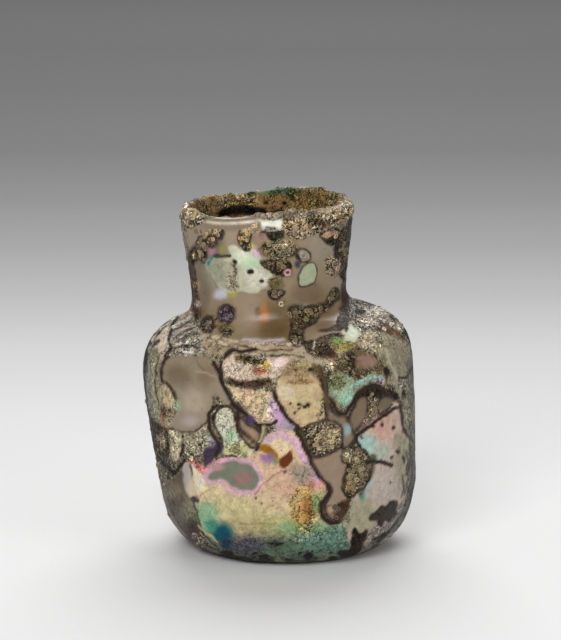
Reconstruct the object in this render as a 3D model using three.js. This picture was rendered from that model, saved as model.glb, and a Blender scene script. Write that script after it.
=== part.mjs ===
// A small ancient blown-glass flask: a squat round body with soft shoulders, a wide neck that flares to an
// uneven lip, and a shallow hollow pushed up in the underside. It leans and sags as the blower left it.
// Millimetres, +Z up, the front towards -Y, the origin on the standing plane under the middle of the outline.
import * as THREE from "three";
import { mergeVertices } from "three/addons/utils/BufferGeometryUtils.js";

const { lerp, smoothstep } = THREE.MathUtils;

// Underside
const KICK_RADIUS = 9.5; // the hollow pushed up in the middle of the underside
const KICK_RISE = 1.3;
const FOOT_RADIUS = 18; // outer edge of the flat ring that the flask stands on
const FLOOR_THICKNESS = 3.4;

// Body, from the foot up: each rise is measured from the end of the one before it
const BODY_RADIUS = 29.1; // the widest place, just under the shoulder
const HEEL_INSET = 1.3; // how much narrower the body is where the round heel ends
const HEEL_RISE = 14.5;
const SIDE_RISE = 24.5;
const SHOULDER_RISE = 11.9;
const WALL = 2.2;

// Neck and lip
const NECK_RADIUS = 16.3; // the waist, the narrowest place
const THROAT_SPREAD = 2.6; // how much wider than the waist the neck leaves the shoulder
const WAIST_RISE = 4.6;
const LIP_FLARE = 2.1; // how much wider than the waist the lip is
const LIP_RISE = 19.5;
const LIP_THICKNESS = 2.8;

// How far the free-blown form is from a true round one
const LEAN = 4.7; // the lip stands this far to the left of the foot, before the two shifts below
const NECK_SHIFT = 1.1; // the waist, further to the left
const LIP_RETURN = 0.5; // the lip, back to the right again
const SHOULDER_TILT = 0.07; // rise of the shoulder from left to right, for each millimetre across
const LIP_TILT = 0.055; // the same for the lip
const HEEL_LIFT = 0.9; // how much higher the heel rounds off at the right than at the left
const HEEL_LIFT_TURN = -0.44; // where it is highest: radians from +X, a little towards the front
const BODY_DENT = 0.25; // depth of the slow swells and hollows in the side
const DENT_RISE = 9; // the height over which they turn by one radian on their way up
const LIP_WAVE = 0.35; // rise and fall of the lip on its way round
const LIP_WAVE_DEPTH = 9; // how far down the neck that wave fades out

// Fineness of the faceted form
const FACETS_AROUND = 60;
const CURVE_STEPS = 7;
const SIDE_STEPS = 4;
const LIP_STEPS = 5;

// Heights and radii that follow from these
const HEEL_RADIUS = BODY_RADIUS - HEEL_INSET;
const SHOULDER_RADIUS = NECK_RADIUS + THROAT_SPREAD;
const LIP_RADIUS = NECK_RADIUS + LIP_FLARE;
const LIP_HALF = LIP_THICKNESS / 2;
const HEEL_HEIGHT = HEEL_RISE;
const WIDEST_HEIGHT = HEEL_HEIGHT + SIDE_RISE;
const SHOULDER_HEIGHT = WIDEST_HEIGHT + SHOULDER_RISE;
const WAIST_HEIGHT = SHOULDER_HEIGHT + WAIST_RISE;
const LIP_HEIGHT = WAIST_HEIGHT + LIP_RISE;
const TILT_FULL_HEIGHT = lerp(WIDEST_HEIGHT, SHOULDER_HEIGHT, 0.4);

/** A place in the section, by its shares of the way from one corner of the stretch to the other. */
function between(from, to, shareOut, shareUp) {
  return new THREE.Vector2(lerp(from.x, to.x, shareOut), lerp(from.y, to.y, shareUp));
}

/** A smooth stretch of the section; each pair of shares is how far out and up that end's handle reaches. */
function stretch(from, to, firstHandle, lastHandle, steps) {
  const leaving = between(from, to, ...firstHandle);
  const arriving = between(from, to, ...lastHandle);
  return { curve: new THREE.CubicBezierCurve(from, leaving, arriving, to), steps };
}

/** The outside of the wall from the foot ring up to where the lip starts to round over. */
function outerSide() {
  const foot = new THREE.Vector2(FOOT_RADIUS, 0);
  const heel = new THREE.Vector2(HEEL_RADIUS, HEEL_HEIGHT);
  const widest = new THREE.Vector2(BODY_RADIUS, WIDEST_HEIGHT);
  const shoulder = new THREE.Vector2(SHOULDER_RADIUS, SHOULDER_HEIGHT);
  const waist = new THREE.Vector2(NECK_RADIUS, WAIST_HEIGHT);
  const lip = new THREE.Vector2(LIP_RADIUS, LIP_HEIGHT - LIP_HALF);
  const stretches = [
    stretch(foot, heel, [0.56, 0], [0.93, 0.44], CURVE_STEPS + 1),
    stretch(heel, widest, [0.6, 0.33], [1, 0.67], SIDE_STEPS),
    stretch(widest, shoulder, [0, 0.66], [0.45, 0.87], CURVE_STEPS + 1),
    stretch(shoulder, waist, [0.75, 0.17], [1, 0.55], SIDE_STEPS),
    stretch(waist, lip, [0, 0.32], [1, 0.7], CURVE_STEPS),
  ];
  const stations = [];
  stretches.forEach(({ curve, steps }, index) => {
    for (let step = index ? 1 : 0; step <= steps; step++) {
      const share = step / steps;
      stations.push({ place: curve.getPoint(share), along: curve.getTangent(share) });
    }
  });
  return stations;
}

/** The inside of the wall: each station of the outside moved in by the thickness that the wall has there. */
function innerSide(stations) {
  return stations.map(({ place, along }) => {
    const low = smoothstep(place.y, 0, HEEL_HEIGHT);
    const high = smoothstep(place.y, WAIST_HEIGHT, LIP_HEIGHT - LIP_HALF);
    const thickness = FLOOR_THICKNESS + (WALL - FLOOR_THICKNESS) * low + (LIP_THICKNESS - WALL) * high;
    return new THREE.Vector2(place.x - along.y * thickness, place.y + along.x * thickness);
  });
}

/** The shallow dome over the hollow in the underside, from its rim in to the axis, lifted by a height. */
function kick(lift) {
  return Array.from({ length: SIDE_STEPS }, (_, index) => {
    const radius = KICK_RADIUS * (1 - (index + 1) / SIDE_STEPS);
    const rise = (KICK_RISE * (1 + Math.cos((Math.PI * radius) / KICK_RADIUS))) / 2;
    return new THREE.Vector2(radius, lift + rise);
  });
}

/** The closed section of the glass: from the axis underneath, up the outside, over the lip and down. */
function section() {
  const stations = outerSide();
  const outside = stations.map(({ place }) => place);
  const inside = innerSide(stations);
  const lip = Array.from({ length: LIP_STEPS - 1 }, (_, index) => {
    const turn = (Math.PI * (index + 1)) / LIP_STEPS;
    const out = LIP_HALF * Math.cos(turn);
    const up = LIP_HALF * Math.sin(turn);
    return new THREE.Vector2(LIP_RADIUS - LIP_HALF + out, LIP_HEIGHT - LIP_HALF + up);
  });
  const underside = [...kick(0).reverse(), new THREE.Vector2(KICK_RADIUS, 0)];
  const floor = [new THREE.Vector2(KICK_RADIUS, FLOOR_THICKNESS), ...kick(FLOOR_THICKNESS)];
  return [...underside, ...outside, ...lip, ...inside.reverse(), ...floor];
}

/** How much wider the side is than a true round one, at a height and a turn about the axis. */
function swell(turn, height) {
  const onBody = smoothstep(height, 0, HEEL_HEIGHT) * (1 - smoothstep(height, SHOULDER_HEIGHT, LIP_HEIGHT));
  const threeSided = Math.sin(3 * turn + height / DENT_RISE);
  const twoSided = 0.6 * Math.sin(2 * turn - (0.64 * height) / DENT_RISE);
  return BODY_DENT * onBody * (threeSided + twoSided);
}

/** How much higher a place is than in a true round form, from the tilt, the lip's wave and the soft heel. */
function lift(across, turn, radius, height) {
  const upNeck = smoothstep(height, WAIST_HEIGHT, LIP_HEIGHT);
  const shoulderTilt = SHOULDER_TILT * smoothstep(height, HEEL_HEIGHT, TILT_FULL_HEIGHT);
  const tilt = shoulderTilt + (LIP_TILT - SHOULDER_TILT) * upNeck;
  const nearLip = smoothstep(height, LIP_HEIGHT - LIP_WAVE_DEPTH, LIP_HEIGHT);
  const wave = LIP_WAVE * nearLip * (Math.cos(3 * turn + 3.7) + 0.5 * Math.cos(5 * turn + 0.6));
  const heelShare = smoothstep(radius, FOOT_RADIUS, lerp(FOOT_RADIUS, HEEL_RADIUS, 0.5));
  const belowSide = 1 - smoothstep(height, 0, HEEL_HEIGHT);
  const softHeel = HEEL_LIFT * heelShare * belowSide * Math.max(0, Math.cos(turn - HEEL_LIFT_TURN));
  return tilt * across + wave + softHeel;
}

/** How far to the left of the foot's middle the round form has wandered at a height. */
function leftShift(height) {
  const waist = NECK_SHIFT * smoothstep(height, TILT_FULL_HEIGHT, WAIST_HEIGHT);
  const lip = LIP_RETURN * smoothstep(height, WAIST_HEIGHT, LIP_HEIGHT);
  return (LEAN * height) / LIP_HEIGHT + waist - lip;
}

/** Turns the round form into the real one: it leans left, its shoulder and lip tilt, and its side swells. */
function settle(geometry) {
  const places = geometry.getAttribute("position");
  for (let index = 0; index < places.count; index++) {
    const across = places.getX(index);
    const deep = places.getY(index);
    const height = places.getZ(index);
    const radius = Math.hypot(across, deep);
    const turn = Math.atan2(deep, across);
    const reach = radius > 0 ? 1 + (swell(turn, height) * Math.min(1, radius / NECK_RADIUS)) / radius : 1;
    const raised = height + lift(across, turn, radius, height);
    places.setXYZ(index, across * reach - leftShift(height), deep * reach, raised);
  }
}

/** Moves the flask so that the middle of its outline, seen from above, is over the origin. */
function centre(geometry) {
  geometry.computeBoundingBox();
  const middle = geometry.boundingBox.getCenter(new THREE.Vector3());
  geometry.translate(-middle.x, -middle.y, 0);
}

/** The glass vessel as one closed mesh, standing on the plane z = 0. */
function glassVessel() {
  const lathed = new THREE.LatheGeometry(section(), FACETS_AROUND);
  lathed.rotateX(Math.PI / 2); // the lathe turns about Y, and the flask stands along Z
  lathed.deleteAttribute("normal");
  lathed.deleteAttribute("uv");
  const geometry = mergeVertices(lathed, 1e-4);
  settle(geometry);
  centre(geometry);
  geometry.computeVertexNormals();
  return geometry;
}

const weatheredGlass = new THREE.MeshStandardMaterial({
  color: 0x9c8f7c,
  roughness: 0.35,
  metalness: 0,
});

const flask = new THREE.Mesh(glassVessel(), weatheredGlass);
flask.name = "flask";

const root = new THREE.Group();
root.add(flask);

export default root;
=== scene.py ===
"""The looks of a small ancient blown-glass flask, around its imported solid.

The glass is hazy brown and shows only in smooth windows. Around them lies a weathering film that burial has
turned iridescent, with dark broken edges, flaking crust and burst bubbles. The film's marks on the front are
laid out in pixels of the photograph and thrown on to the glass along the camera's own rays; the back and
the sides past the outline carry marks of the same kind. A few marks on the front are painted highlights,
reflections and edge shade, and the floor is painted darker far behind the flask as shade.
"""

from __future__ import annotations

import logging
import math
from collections.abc import Callable
from dataclasses import dataclass, field
from enum import Enum

import bpy
import numpy as np
from mathutils import Matrix, Vector

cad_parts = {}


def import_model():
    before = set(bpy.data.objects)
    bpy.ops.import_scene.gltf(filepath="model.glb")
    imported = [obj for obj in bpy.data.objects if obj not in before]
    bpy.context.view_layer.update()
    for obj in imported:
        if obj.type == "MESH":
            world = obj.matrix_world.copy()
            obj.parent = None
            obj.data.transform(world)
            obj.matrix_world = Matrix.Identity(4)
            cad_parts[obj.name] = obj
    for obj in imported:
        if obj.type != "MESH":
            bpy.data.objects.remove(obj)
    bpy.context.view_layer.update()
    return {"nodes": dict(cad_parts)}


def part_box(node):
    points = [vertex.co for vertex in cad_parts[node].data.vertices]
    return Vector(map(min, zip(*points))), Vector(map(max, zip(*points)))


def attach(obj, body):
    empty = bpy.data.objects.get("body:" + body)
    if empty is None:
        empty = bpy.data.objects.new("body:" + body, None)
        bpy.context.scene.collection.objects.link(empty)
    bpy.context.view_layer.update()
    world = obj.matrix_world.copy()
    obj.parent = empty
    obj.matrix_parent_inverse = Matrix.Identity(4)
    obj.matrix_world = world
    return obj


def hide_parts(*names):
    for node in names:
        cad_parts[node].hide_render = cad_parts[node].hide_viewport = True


log = logging.getLogger("flask")

MM = 0.001
NOISE_CELLS = 32
Colour = tuple[int, int, int]
Pixel = tuple[float, float]
Span = tuple[float, float]
Socket = bpy.types.NodeSocket
Sockets = dict[str, Socket]

# Colours, as they are seen
DARK: Colour = (42, 32, 27)
UMBER: Colour = (92, 74, 55)
PIT: Colour = (38, 31, 27)
CREAM: Colour = (208, 196, 164)
WINDOW: Colour = (150, 135, 112)
HAZE: Colour = (128, 112, 88)
CRUST: Colour = (150, 136, 104)
GOLD: Colour = (164, 132, 74)
LILAC: Colour = (196, 160, 186)


def to_linear(colour: Colour | np.ndarray) -> np.ndarray:
    """Returns the linear value of a colour as it is seen, given in steps of 0 to 255."""
    share = np.asarray(colour, float) / 255
    return np.where(share <= 0.04045, share / 12.92, ((share + 0.055) / 1.055) ** 2.4)


def smoothstep(low: float, high: float, value: np.ndarray) -> np.ndarray:
    """Returns 0 below low, 1 above high, and an even slope between them."""
    share = np.clip((value - low) / (high - low), 0, 1)
    return share * share * (3 - 2 * share)


def lattice_noise(points: np.ndarray, size: float, seed: int) -> np.ndarray:
    """Works out smooth noise in space.

    Args:
        points: places in metres, one per row.
        size: length of one swell, in metres.
        seed: picks the pattern.

    Returns:
        One value from -1 to 1 for each place.
    """
    table = np.random.default_rng(seed).random((NOISE_CELLS,) * 3) * 2 - 1
    place = points / size
    corner = np.floor(place).astype(int)
    share = place - corner
    share = share * share * (3 - 2 * share)
    value = np.zeros(len(points))
    for step in np.ndindex(2, 2, 2):
        weight = np.prod(np.where(step, share, 1 - share), axis=1)
        x, y, z = ((corner + step) % NOISE_CELLS).T
        value += weight * table[x, y, z]
    return value


@dataclass(frozen=True)
class Swell:
    """Smooth noise in space: the length of one swell in metres, the seed of its pattern and its strength."""

    size: float
    seed: int
    strength: float = 1.0

    def at(self, points: np.ndarray) -> np.ndarray:
        """Returns the noise at each place."""
        return self.strength * lattice_noise(points, self.size, self.seed)


def sum_at(swells: tuple[Swell, ...], points: np.ndarray) -> np.ndarray:
    """Returns the sum of some swells at each place."""
    return sum(swell.at(points) for swell in swells)


def smooth_curve(corners: tuple[Pixel, ...], closed: bool, steps: int = 5) -> np.ndarray:
    """Draws a smooth curve through some corners.

    Args:
        corners: the places that it passes through, in order.
        closed: whether it comes round again to the first of them.
        steps: points on each stretch between two corners.

    Returns:
        The curve's points, one per row.
    """
    knots = np.asarray(corners, float)
    if closed:
        before, start, end, after = (np.roll(knots, shift, axis=0) for shift in (1, 0, -1, -2))
    else:
        padded = np.vstack([knots[:1], knots, knots[-1:]])
        before, start, end, after = padded[:-3], padded[1:-2], padded[2:-1], padded[3:]
    bend = 0.5 * (end - before)
    leave = 0.5 * (after - start)
    spans = []
    for share in np.arange(steps) / steps:
        square, cube = share**2, share**3
        spans.append(
            (2 * cube - 3 * square + 1) * start
            + (cube - 2 * square + share) * bend
            + (3 * square - 2 * cube) * end
            + (cube - square) * leave
        )
    curve = np.stack(spans, axis=1).reshape(-1, 2)
    return np.vstack([curve, knots[:1] if closed else knots[-1:]])


def distance_to(curve: np.ndarray, points: np.ndarray) -> np.ndarray:
    """Measures how far places are from a curve of straight steps.

    Args:
        curve: its points, in order.
        points: the places, one per row.

    Returns:
        The distance from each place to the nearest place on the curve.
    """
    start, along = curve[:-1], np.diff(curve, axis=0)
    offset = points[:, None, :] - start[None]
    share = np.clip((offset * along).sum(2) / np.maximum((along**2).sum(1), 1e-9), 0, 1)
    nearest = offset - share[..., None] * along
    return np.sqrt((nearest**2).sum(2).min(1))


def is_inside(curve: np.ndarray, points: np.ndarray) -> np.ndarray:
    """Tells which places are inside a closed curve, by how often a ray from them crosses it.

    Args:
        curve: its points, in order, the first one again at the end.
        points: the places, one per row.

    Returns:
        Whether each place is inside.
    """
    start, end = curve[:-1], curve[1:]
    x, y = points[:, :1], points[:, 1:]
    crosses = (start[:, 1] > y) != (end[:, 1] > y)
    rise = np.where(end[:, 1] == start[:, 1], 1, end[:, 1] - start[:, 1])
    cut = start[:, 0] + (y - start[:, 1]) * (end[:, 0] - start[:, 0]) / rise
    return (crosses & (x < cut)).sum(1) % 2 == 1


def read(
    elements: bpy.types.bpy_prop_collection, key: str, width: int = 1, kind: type = float
) -> np.ndarray:
    """Reads one property of all of a mesh's elements.

    Args:
        elements: the vertices, edges, faces or attribute values.
        key: the property's name.
        width: how many numbers it has.
        kind: the type of number to read it as.

    Returns:
        One number for each element, or one row where the width is more than 1.
    """
    values = np.empty(len(elements) * width, kind)
    elements.foreach_get(key, values)
    return values.reshape(-1, width) if width > 1 else values


def places_and_normals(mesh: bpy.types.Mesh) -> tuple[np.ndarray, np.ndarray]:
    """Returns where a mesh's vertices are and which way its surface faces there, one per row."""
    places = read(mesh.vertices, "co", 3)
    return places, read(mesh.vertex_normals, "vector", 3, np.float32).astype(float)


def store(mesh: bpy.types.Mesh, name: str, values: np.ndarray) -> None:
    """Keeps a value for every vertex under a name that the materials read.

    Args:
        mesh: what the values are kept on.
        name: the name of them.
        values: one number for each vertex, or one row with a seen colour.
    """
    if values.ndim > 1:
        kind, key = "FLOAT_COLOR", "color"
        values = np.hstack([to_linear(values), np.ones((len(values), 1))])
    else:
        kind, key = "FLOAT", "value"
    attribute = mesh.attributes.new(name, kind, "POINT")
    attribute.data.foreach_set(key, np.ascontiguousarray(values, np.float32).ravel())


class Ground(Enum):
    """What a mark leaves at the surface."""

    FILM = "film"
    WINDOW = "window"
    TINT = "tint"


class Side(Enum):
    """Which face of the glass a mark is on."""

    OUTSIDE = "outside"
    INSIDE = "inside"


@dataclass(frozen=True)
class Mark:
    """One area of the weathering, laid out in pixels of the photograph; some are painted light and shade.

    A mark with ground TINT only colours what is there. The rim is a dark line along the edge, and the fringe
    is a soft band of another colour round it, both in pixels. The height is in millimetres.
    """

    colour: Colour
    ground: Ground = Ground.TINT
    soft: float = 1.5
    height: float = 0.1
    crust: float | None = None
    rim: float = 0.0
    fringe: float = 0.0
    fringe_colour: Colour = LILAC
    side: Side = Side.OUTSIDE

    def reach(self) -> tuple[np.ndarray, np.ndarray]:
        """Returns the lowest and highest pixel of the mark itself."""
        raise NotImplementedError

    def depth(self, pixels: np.ndarray) -> np.ndarray:
        """Returns how far inside the mark each pixel is, less than 0 outside it."""
        raise NotImplementedError


@dataclass(frozen=True)
class Patch(Mark):
    """A closed area with a smooth outline."""

    outline: tuple[Pixel, ...] = ()

    def reach(self) -> tuple[np.ndarray, np.ndarray]:
        """Returns the lowest and highest pixel of the outline."""
        return np.min(self.outline, axis=0), np.max(self.outline, axis=0)

    def depth(self, pixels: np.ndarray) -> np.ndarray:
        """Measures how far in from the outline places are.

        Args:
            pixels: the places, one per row.

        Returns:
            The distance to the outline, less than 0 outside it.
        """
        curve = smooth_curve(self.outline, closed=True)
        distance = distance_to(curve, pixels)
        return np.where(is_inside(curve, pixels), distance, -distance)


@dataclass(frozen=True)
class Stroke(Mark):
    """A band of even width along a smooth line."""

    line: tuple[Pixel, ...] = ()
    width: float = 4.0

    def reach(self) -> tuple[np.ndarray, np.ndarray]:
        """Returns the lowest and highest pixel of the band."""
        return np.min(self.line, axis=0) - self.width / 2, np.max(self.line, axis=0) + self.width / 2

    def depth(self, pixels: np.ndarray) -> np.ndarray:
        """Returns half the width less the distance to the line."""
        return self.width / 2 - distance_to(smooth_curve(self.line, closed=False), pixels)


@dataclass(frozen=True)
class Spot(Mark):
    """An oval."""

    centre: Pixel = (0.0, 0.0)
    radii: Pixel = (3.0, 3.0)

    def reach(self) -> tuple[np.ndarray, np.ndarray]:
        """Returns the lowest and highest pixel of the oval."""
        return np.subtract(self.centre, self.radii), np.add(self.centre, self.radii)

    def depth(self, pixels: np.ndarray) -> np.ndarray:
        """Returns about how far in from the oval's edge a pixel is."""
        share = np.sqrt((((pixels - self.centre) / self.radii) ** 2).sum(1))
        return (1 - share) * min(self.radii)


def window(colour: Colour, *outline: Pixel, rim: float = 3.5) -> Patch:
    """Returns an area where the film is gone and smooth glass shows."""
    return Patch(colour, Ground.WINDOW, height=0, crust=0, rim=rim, outline=outline)


def film(colour: Colour, *outline: Pixel, **finish: object) -> Patch:
    """Returns an area of film in one colour."""
    return Patch(colour, Ground.FILM, outline=outline, **finish)


def band(width: float, *line: Pixel, colour: Colour = DARK) -> Stroke:
    """Returns a raised dark band, the broken edge of a film."""
    return Stroke(colour, Ground.FILM, soft=0.8, height=0.22, crust=0.15, line=line, width=width)


def chain(width: float, colour: Colour, *line: Pixel) -> Stroke:
    """Returns a raised row of crust, as wide as the bubbles that it grew from."""
    return Stroke(colour, Ground.FILM, soft=1, height=0.26, crust=1, rim=0.9, line=line, width=width)


def clump(x: float, y: float, across: float, down: float, colour: Colour) -> Spot:
    """Returns a round lump of crust with a dark edge."""
    size = {"centre": (x, y), "radii": (across, down)}
    return Spot(colour, Ground.FILM, soft=0.8, height=0.3, crust=0.8, rim=1.8, **size)


def tint(colour: Colour, x: float, y: float, across: float, down: float, **finish: object) -> Spot:
    """Returns a soft spot of colour that only tints what is there."""
    values = {"soft": 0.6 * min(across, down), **finish}
    return Spot(colour, centre=(x, y), radii=(across, down), **values)


def streak(
    width: float, colour: Colour, *line: Pixel, crust: float | None = 0.8, soft: float = 1.0
) -> Stroke:
    """Returns a thin line of colour that only tints what is there."""
    return Stroke(colour, soft=soft, crust=crust, line=line, width=width)


def hole(x: float, y: float, across: float = 2.0, down: float = 2.0) -> Spot:
    """Returns a small dark pit."""
    return Spot(PIT, soft=0.8, height=0, centre=(x, y), radii=(across, down), ground=Ground.FILM)


Marks = tuple[Mark, ...]

# The left side and shoulder
LEFT_MARKS: Marks = (
    film((134, 124, 102), (120, 180), (440, 180), (440, 600), (120, 600), crust=0.75, height=0.14),
    film((170, 162, 145), (152, 352), (165, 325), (192, 306), (206, 330), (205, 352), (175, 357),
        (160, 362), crust=0.8, soft=3, height=0.2),
    film((206, 194, 176), (156, 346), (158, 337), (163, 331), (170, 327), (169, 336), (166, 348),
        (160, 352), crust=0.5, soft=1.5),
    film((150, 136, 116), (174, 333), (180, 320), (192, 312), (196, 322), (190, 332), crust=0.6, soft=2),
    streak(3.4, (206, 196, 178), (170, 329), (174, 321), (181, 314), crust=0.5),
    streak(2, (214, 206, 190), (184, 322), (191, 316), (197, 312), crust=0.5),
    streak(3.4, (40, 36, 34), (158, 333), (165, 325), (172, 318), (180, 311)),
    streak(3, (46, 42, 38), (171, 334), (173, 325), (178, 318)),
    streak(3, (70, 56, 44), (152, 351), (155, 345), (159, 341)),
    streak(1.4, (62, 54, 46), (174, 330), (184, 325), (194, 318)),
    streak(1.2, (64, 56, 48), (176, 337), (188, 330), (202, 327)),
    streak(1.2, (196, 188, 170), (176, 334), (187, 328), (200, 323)),
    streak(2.5, (84, 74, 62), (172, 332), (169, 340), (171, 348), (166, 357), crust=1),
    streak(2, (218, 212, 200), (150, 345), (156, 334), (166, 325), (180, 314)),
    streak(1.6, (44, 42, 40), (147, 350), (152, 338), (160, 328), (172, 316), (190, 306)),
    streak(2, (208, 200, 186), (172, 328), (182, 322), (194, 318)),
    streak(2, (84, 76, 66), (176, 342), (188, 336), (202, 334)),
    streak(2, (214, 208, 196), (178, 345), (190, 341), (204, 343)),
    streak(1.8, (74, 66, 58), (174, 349), (186, 346), (200, 348)),
    film((150, 144, 116), (149, 352), (158, 350), (161, 362), (160, 383), (166, 392), (170, 404),
        (170, 420), (164, 428), (157, 420), (152, 400), (148, 375), crust=0.5, soft=2),
    streak(1.8, (174, 170, 152), (154, 355), (153, 380), (156, 405)),
    streak(1.4, (70, 66, 56), (158, 356), (156, 384), (160, 404)),
    film((188, 176, 142), (162, 385), (169, 387), (174, 394), (177, 402), (174, 408), (166, 406),
        (162, 396), crust=0.45, soft=1.5, height=0.2),
    tint((140, 106, 80), 164, 413, 4, 10, crust=0.8), tint((192, 180, 150), 170, 421, 4, 6, crust=0.9),
    # painted edge shade: this broad darker band and the dark line below it run down the left outline
    streak(7, (104, 102, 92), (150, 344), (145, 380), (148, 412), (152, 440), soft=3, crust=0.8),
    streak(3.4, (54, 48, 39), (153, 334), (147, 350), (144.5, 380), (147, 412), (151, 440), crust=0.7),
    streak(1.4, (150, 154, 150), (150, 346), (148.5, 378), (150.5, 408), crust=0.6),
    film((70, 56, 38), (148, 418), (160, 424), (168, 430), (170, 446), (168, 458), (160, 462), (152, 450),
        crust=0.9, soft=2),
    tint((186, 170, 132), 163, 440, 3, 9, crust=0.9),
    film((122, 114, 96), (155, 457), (170, 460), (178, 466), (175, 478), (168, 488), (160, 482),
        crust=0.95, soft=2),
    film((88, 78, 66), (166, 486), (176, 475), (184, 466), (194, 464), (197, 493), (199, 520), (212, 540),
        (237, 557), (214, 560), (186, 547), (170, 524), (160, 498), crust=0.3, soft=2, height=0.06),
    tint((58, 50, 42), 192, 520, 6, 16, crust=0.5), tint((66, 56, 46), 171, 500, 4, 12, crust=0.5),
    streak(2, (150, 142, 134), (166, 508), (174, 522), (184, 536), crust=0.4),
    streak(1.6, (60, 52, 44), (170, 508), (179, 523), (190, 537), crust=0.4),
    # painted edge shade: this dark line runs along the lower left outline to the foot
    streak(4, (44, 38, 33), (150, 440), (155, 478), (162.5, 508), (175, 532), (196, 552), (232, 564),
        soft=2, crust=0.9),
    film((164, 158, 156), (183, 465), (192, 463), (195, 480), (197, 492), (190, 497), (184, 484),
        crust=0.08, soft=1.5),
    # painted highlight: the first tint, a soft lighter patch on the lower left
    tint((120, 108, 92), 174, 492, 8, 8), tint((112, 112, 96), 188, 511, 7, 11),
    streak(1, (66, 58, 50), (179, 494), (176.5, 499), (178, 504), (181, 507), crust=0),
    streak(1.2, (60, 52, 44), (183, 496), (182, 500), (181, 503), crust=0),
    film((200, 190, 162), (169, 430), (180, 430), (182, 446), (180, 458), (174, 460), (170, 446),
        crust=0.7, height=0.2, soft=1),
    film((172, 164, 142), (185, 434), (197, 430), (209, 424), (210, 438), (204, 450), (190, 457),
        (184, 450), crust=0.8, height=0.2, soft=1),
    streak(2, (52, 44, 36), (183, 436), (184, 446), (182, 456)),
    streak(3, DARK, (158, 457), (167, 466), (174, 473), (181, 466), (186, 459)),
    hole(174, 472, 2.8, 2.2),
    film((70, 56, 44), (198, 527), (208, 534), (218, 543), (232, 553), (240, 560), (220, 561), (204, 549),
        (196, 537), crust=0.6, soft=1.5),
    film((140, 130, 118), (192, 532), (198, 533), (205, 541), (208, 549), (202, 549), (194, 541), crust=1,
        soft=1),
    film((32, 27, 24), (205, 545), (214, 546), (224, 551), (236, 560), (218, 562), (206, 555), crust=0.5,
        soft=1.5),
    streak(1.1, (196, 188, 176), (200, 532), (207, 540), (216, 547), (226, 554), crust=0.3),
    streak(1, (170, 162, 150), (203, 545), (212, 552), (224, 558), crust=0.3),
    streak(1, (150, 142, 132), (208, 546), (218, 552), (229, 557), crust=0.3),
    window((158, 144, 124), (171, 357), (163, 362), (161, 374), (162, 382), (169, 385), (175, 393),
        (178, 403), (176, 412), (172, 420), (172, 428), (181, 431), (192, 433), (198, 431), (204, 424),
        (208, 418), (212, 408), (212, 397), (219, 396), (222, 401), (231, 409), (240, 418), (246, 424),
        (236, 407), (228, 392), (222, 381), (216, 370), (208, 358), (190, 356), rim=0),
    # painted reflection: the first tint, a pale glossy patch low in the window
    tint((184, 170, 150), 194, 402, 12, 12), tint((132, 116, 94), 178, 376, 12, 10),
    tint((142, 126, 104), 206, 376, 8, 12),
    # painted glints and hairlines: the next two thin pale streaks across the window
    streak(0.9, (186, 174, 156), (196, 371), (206, 373), (217, 379), crust=0),
    streak(0.9, (184, 172, 154), (186, 398), (196, 396), (206, 400), crust=0),
    streak(0.8, (106, 92, 74), (196, 358), (199, 366), (204, 370), crust=0),
    tint((184, 174, 168), 190, 421, 8, 5), tint((156, 176, 146), 178.5, 406, 4, 4),
    # painted highlight: this pale blue-white streak at the window's top edge
    streak(1.8, (214, 222, 230), (184, 352), (189, 353), (194, 353), crust=0),
    band(1.8, (169, 357), (164, 362), (162, 372), (162, 382)),
    band(2.4, (164, 382), (168, 384), (173, 391), (176, 399)),
    hole(170, 410, 2, 2),
    band(1.6, (171, 428), (182, 432), (194, 432), (204, 424), (209, 414)),
)

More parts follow.
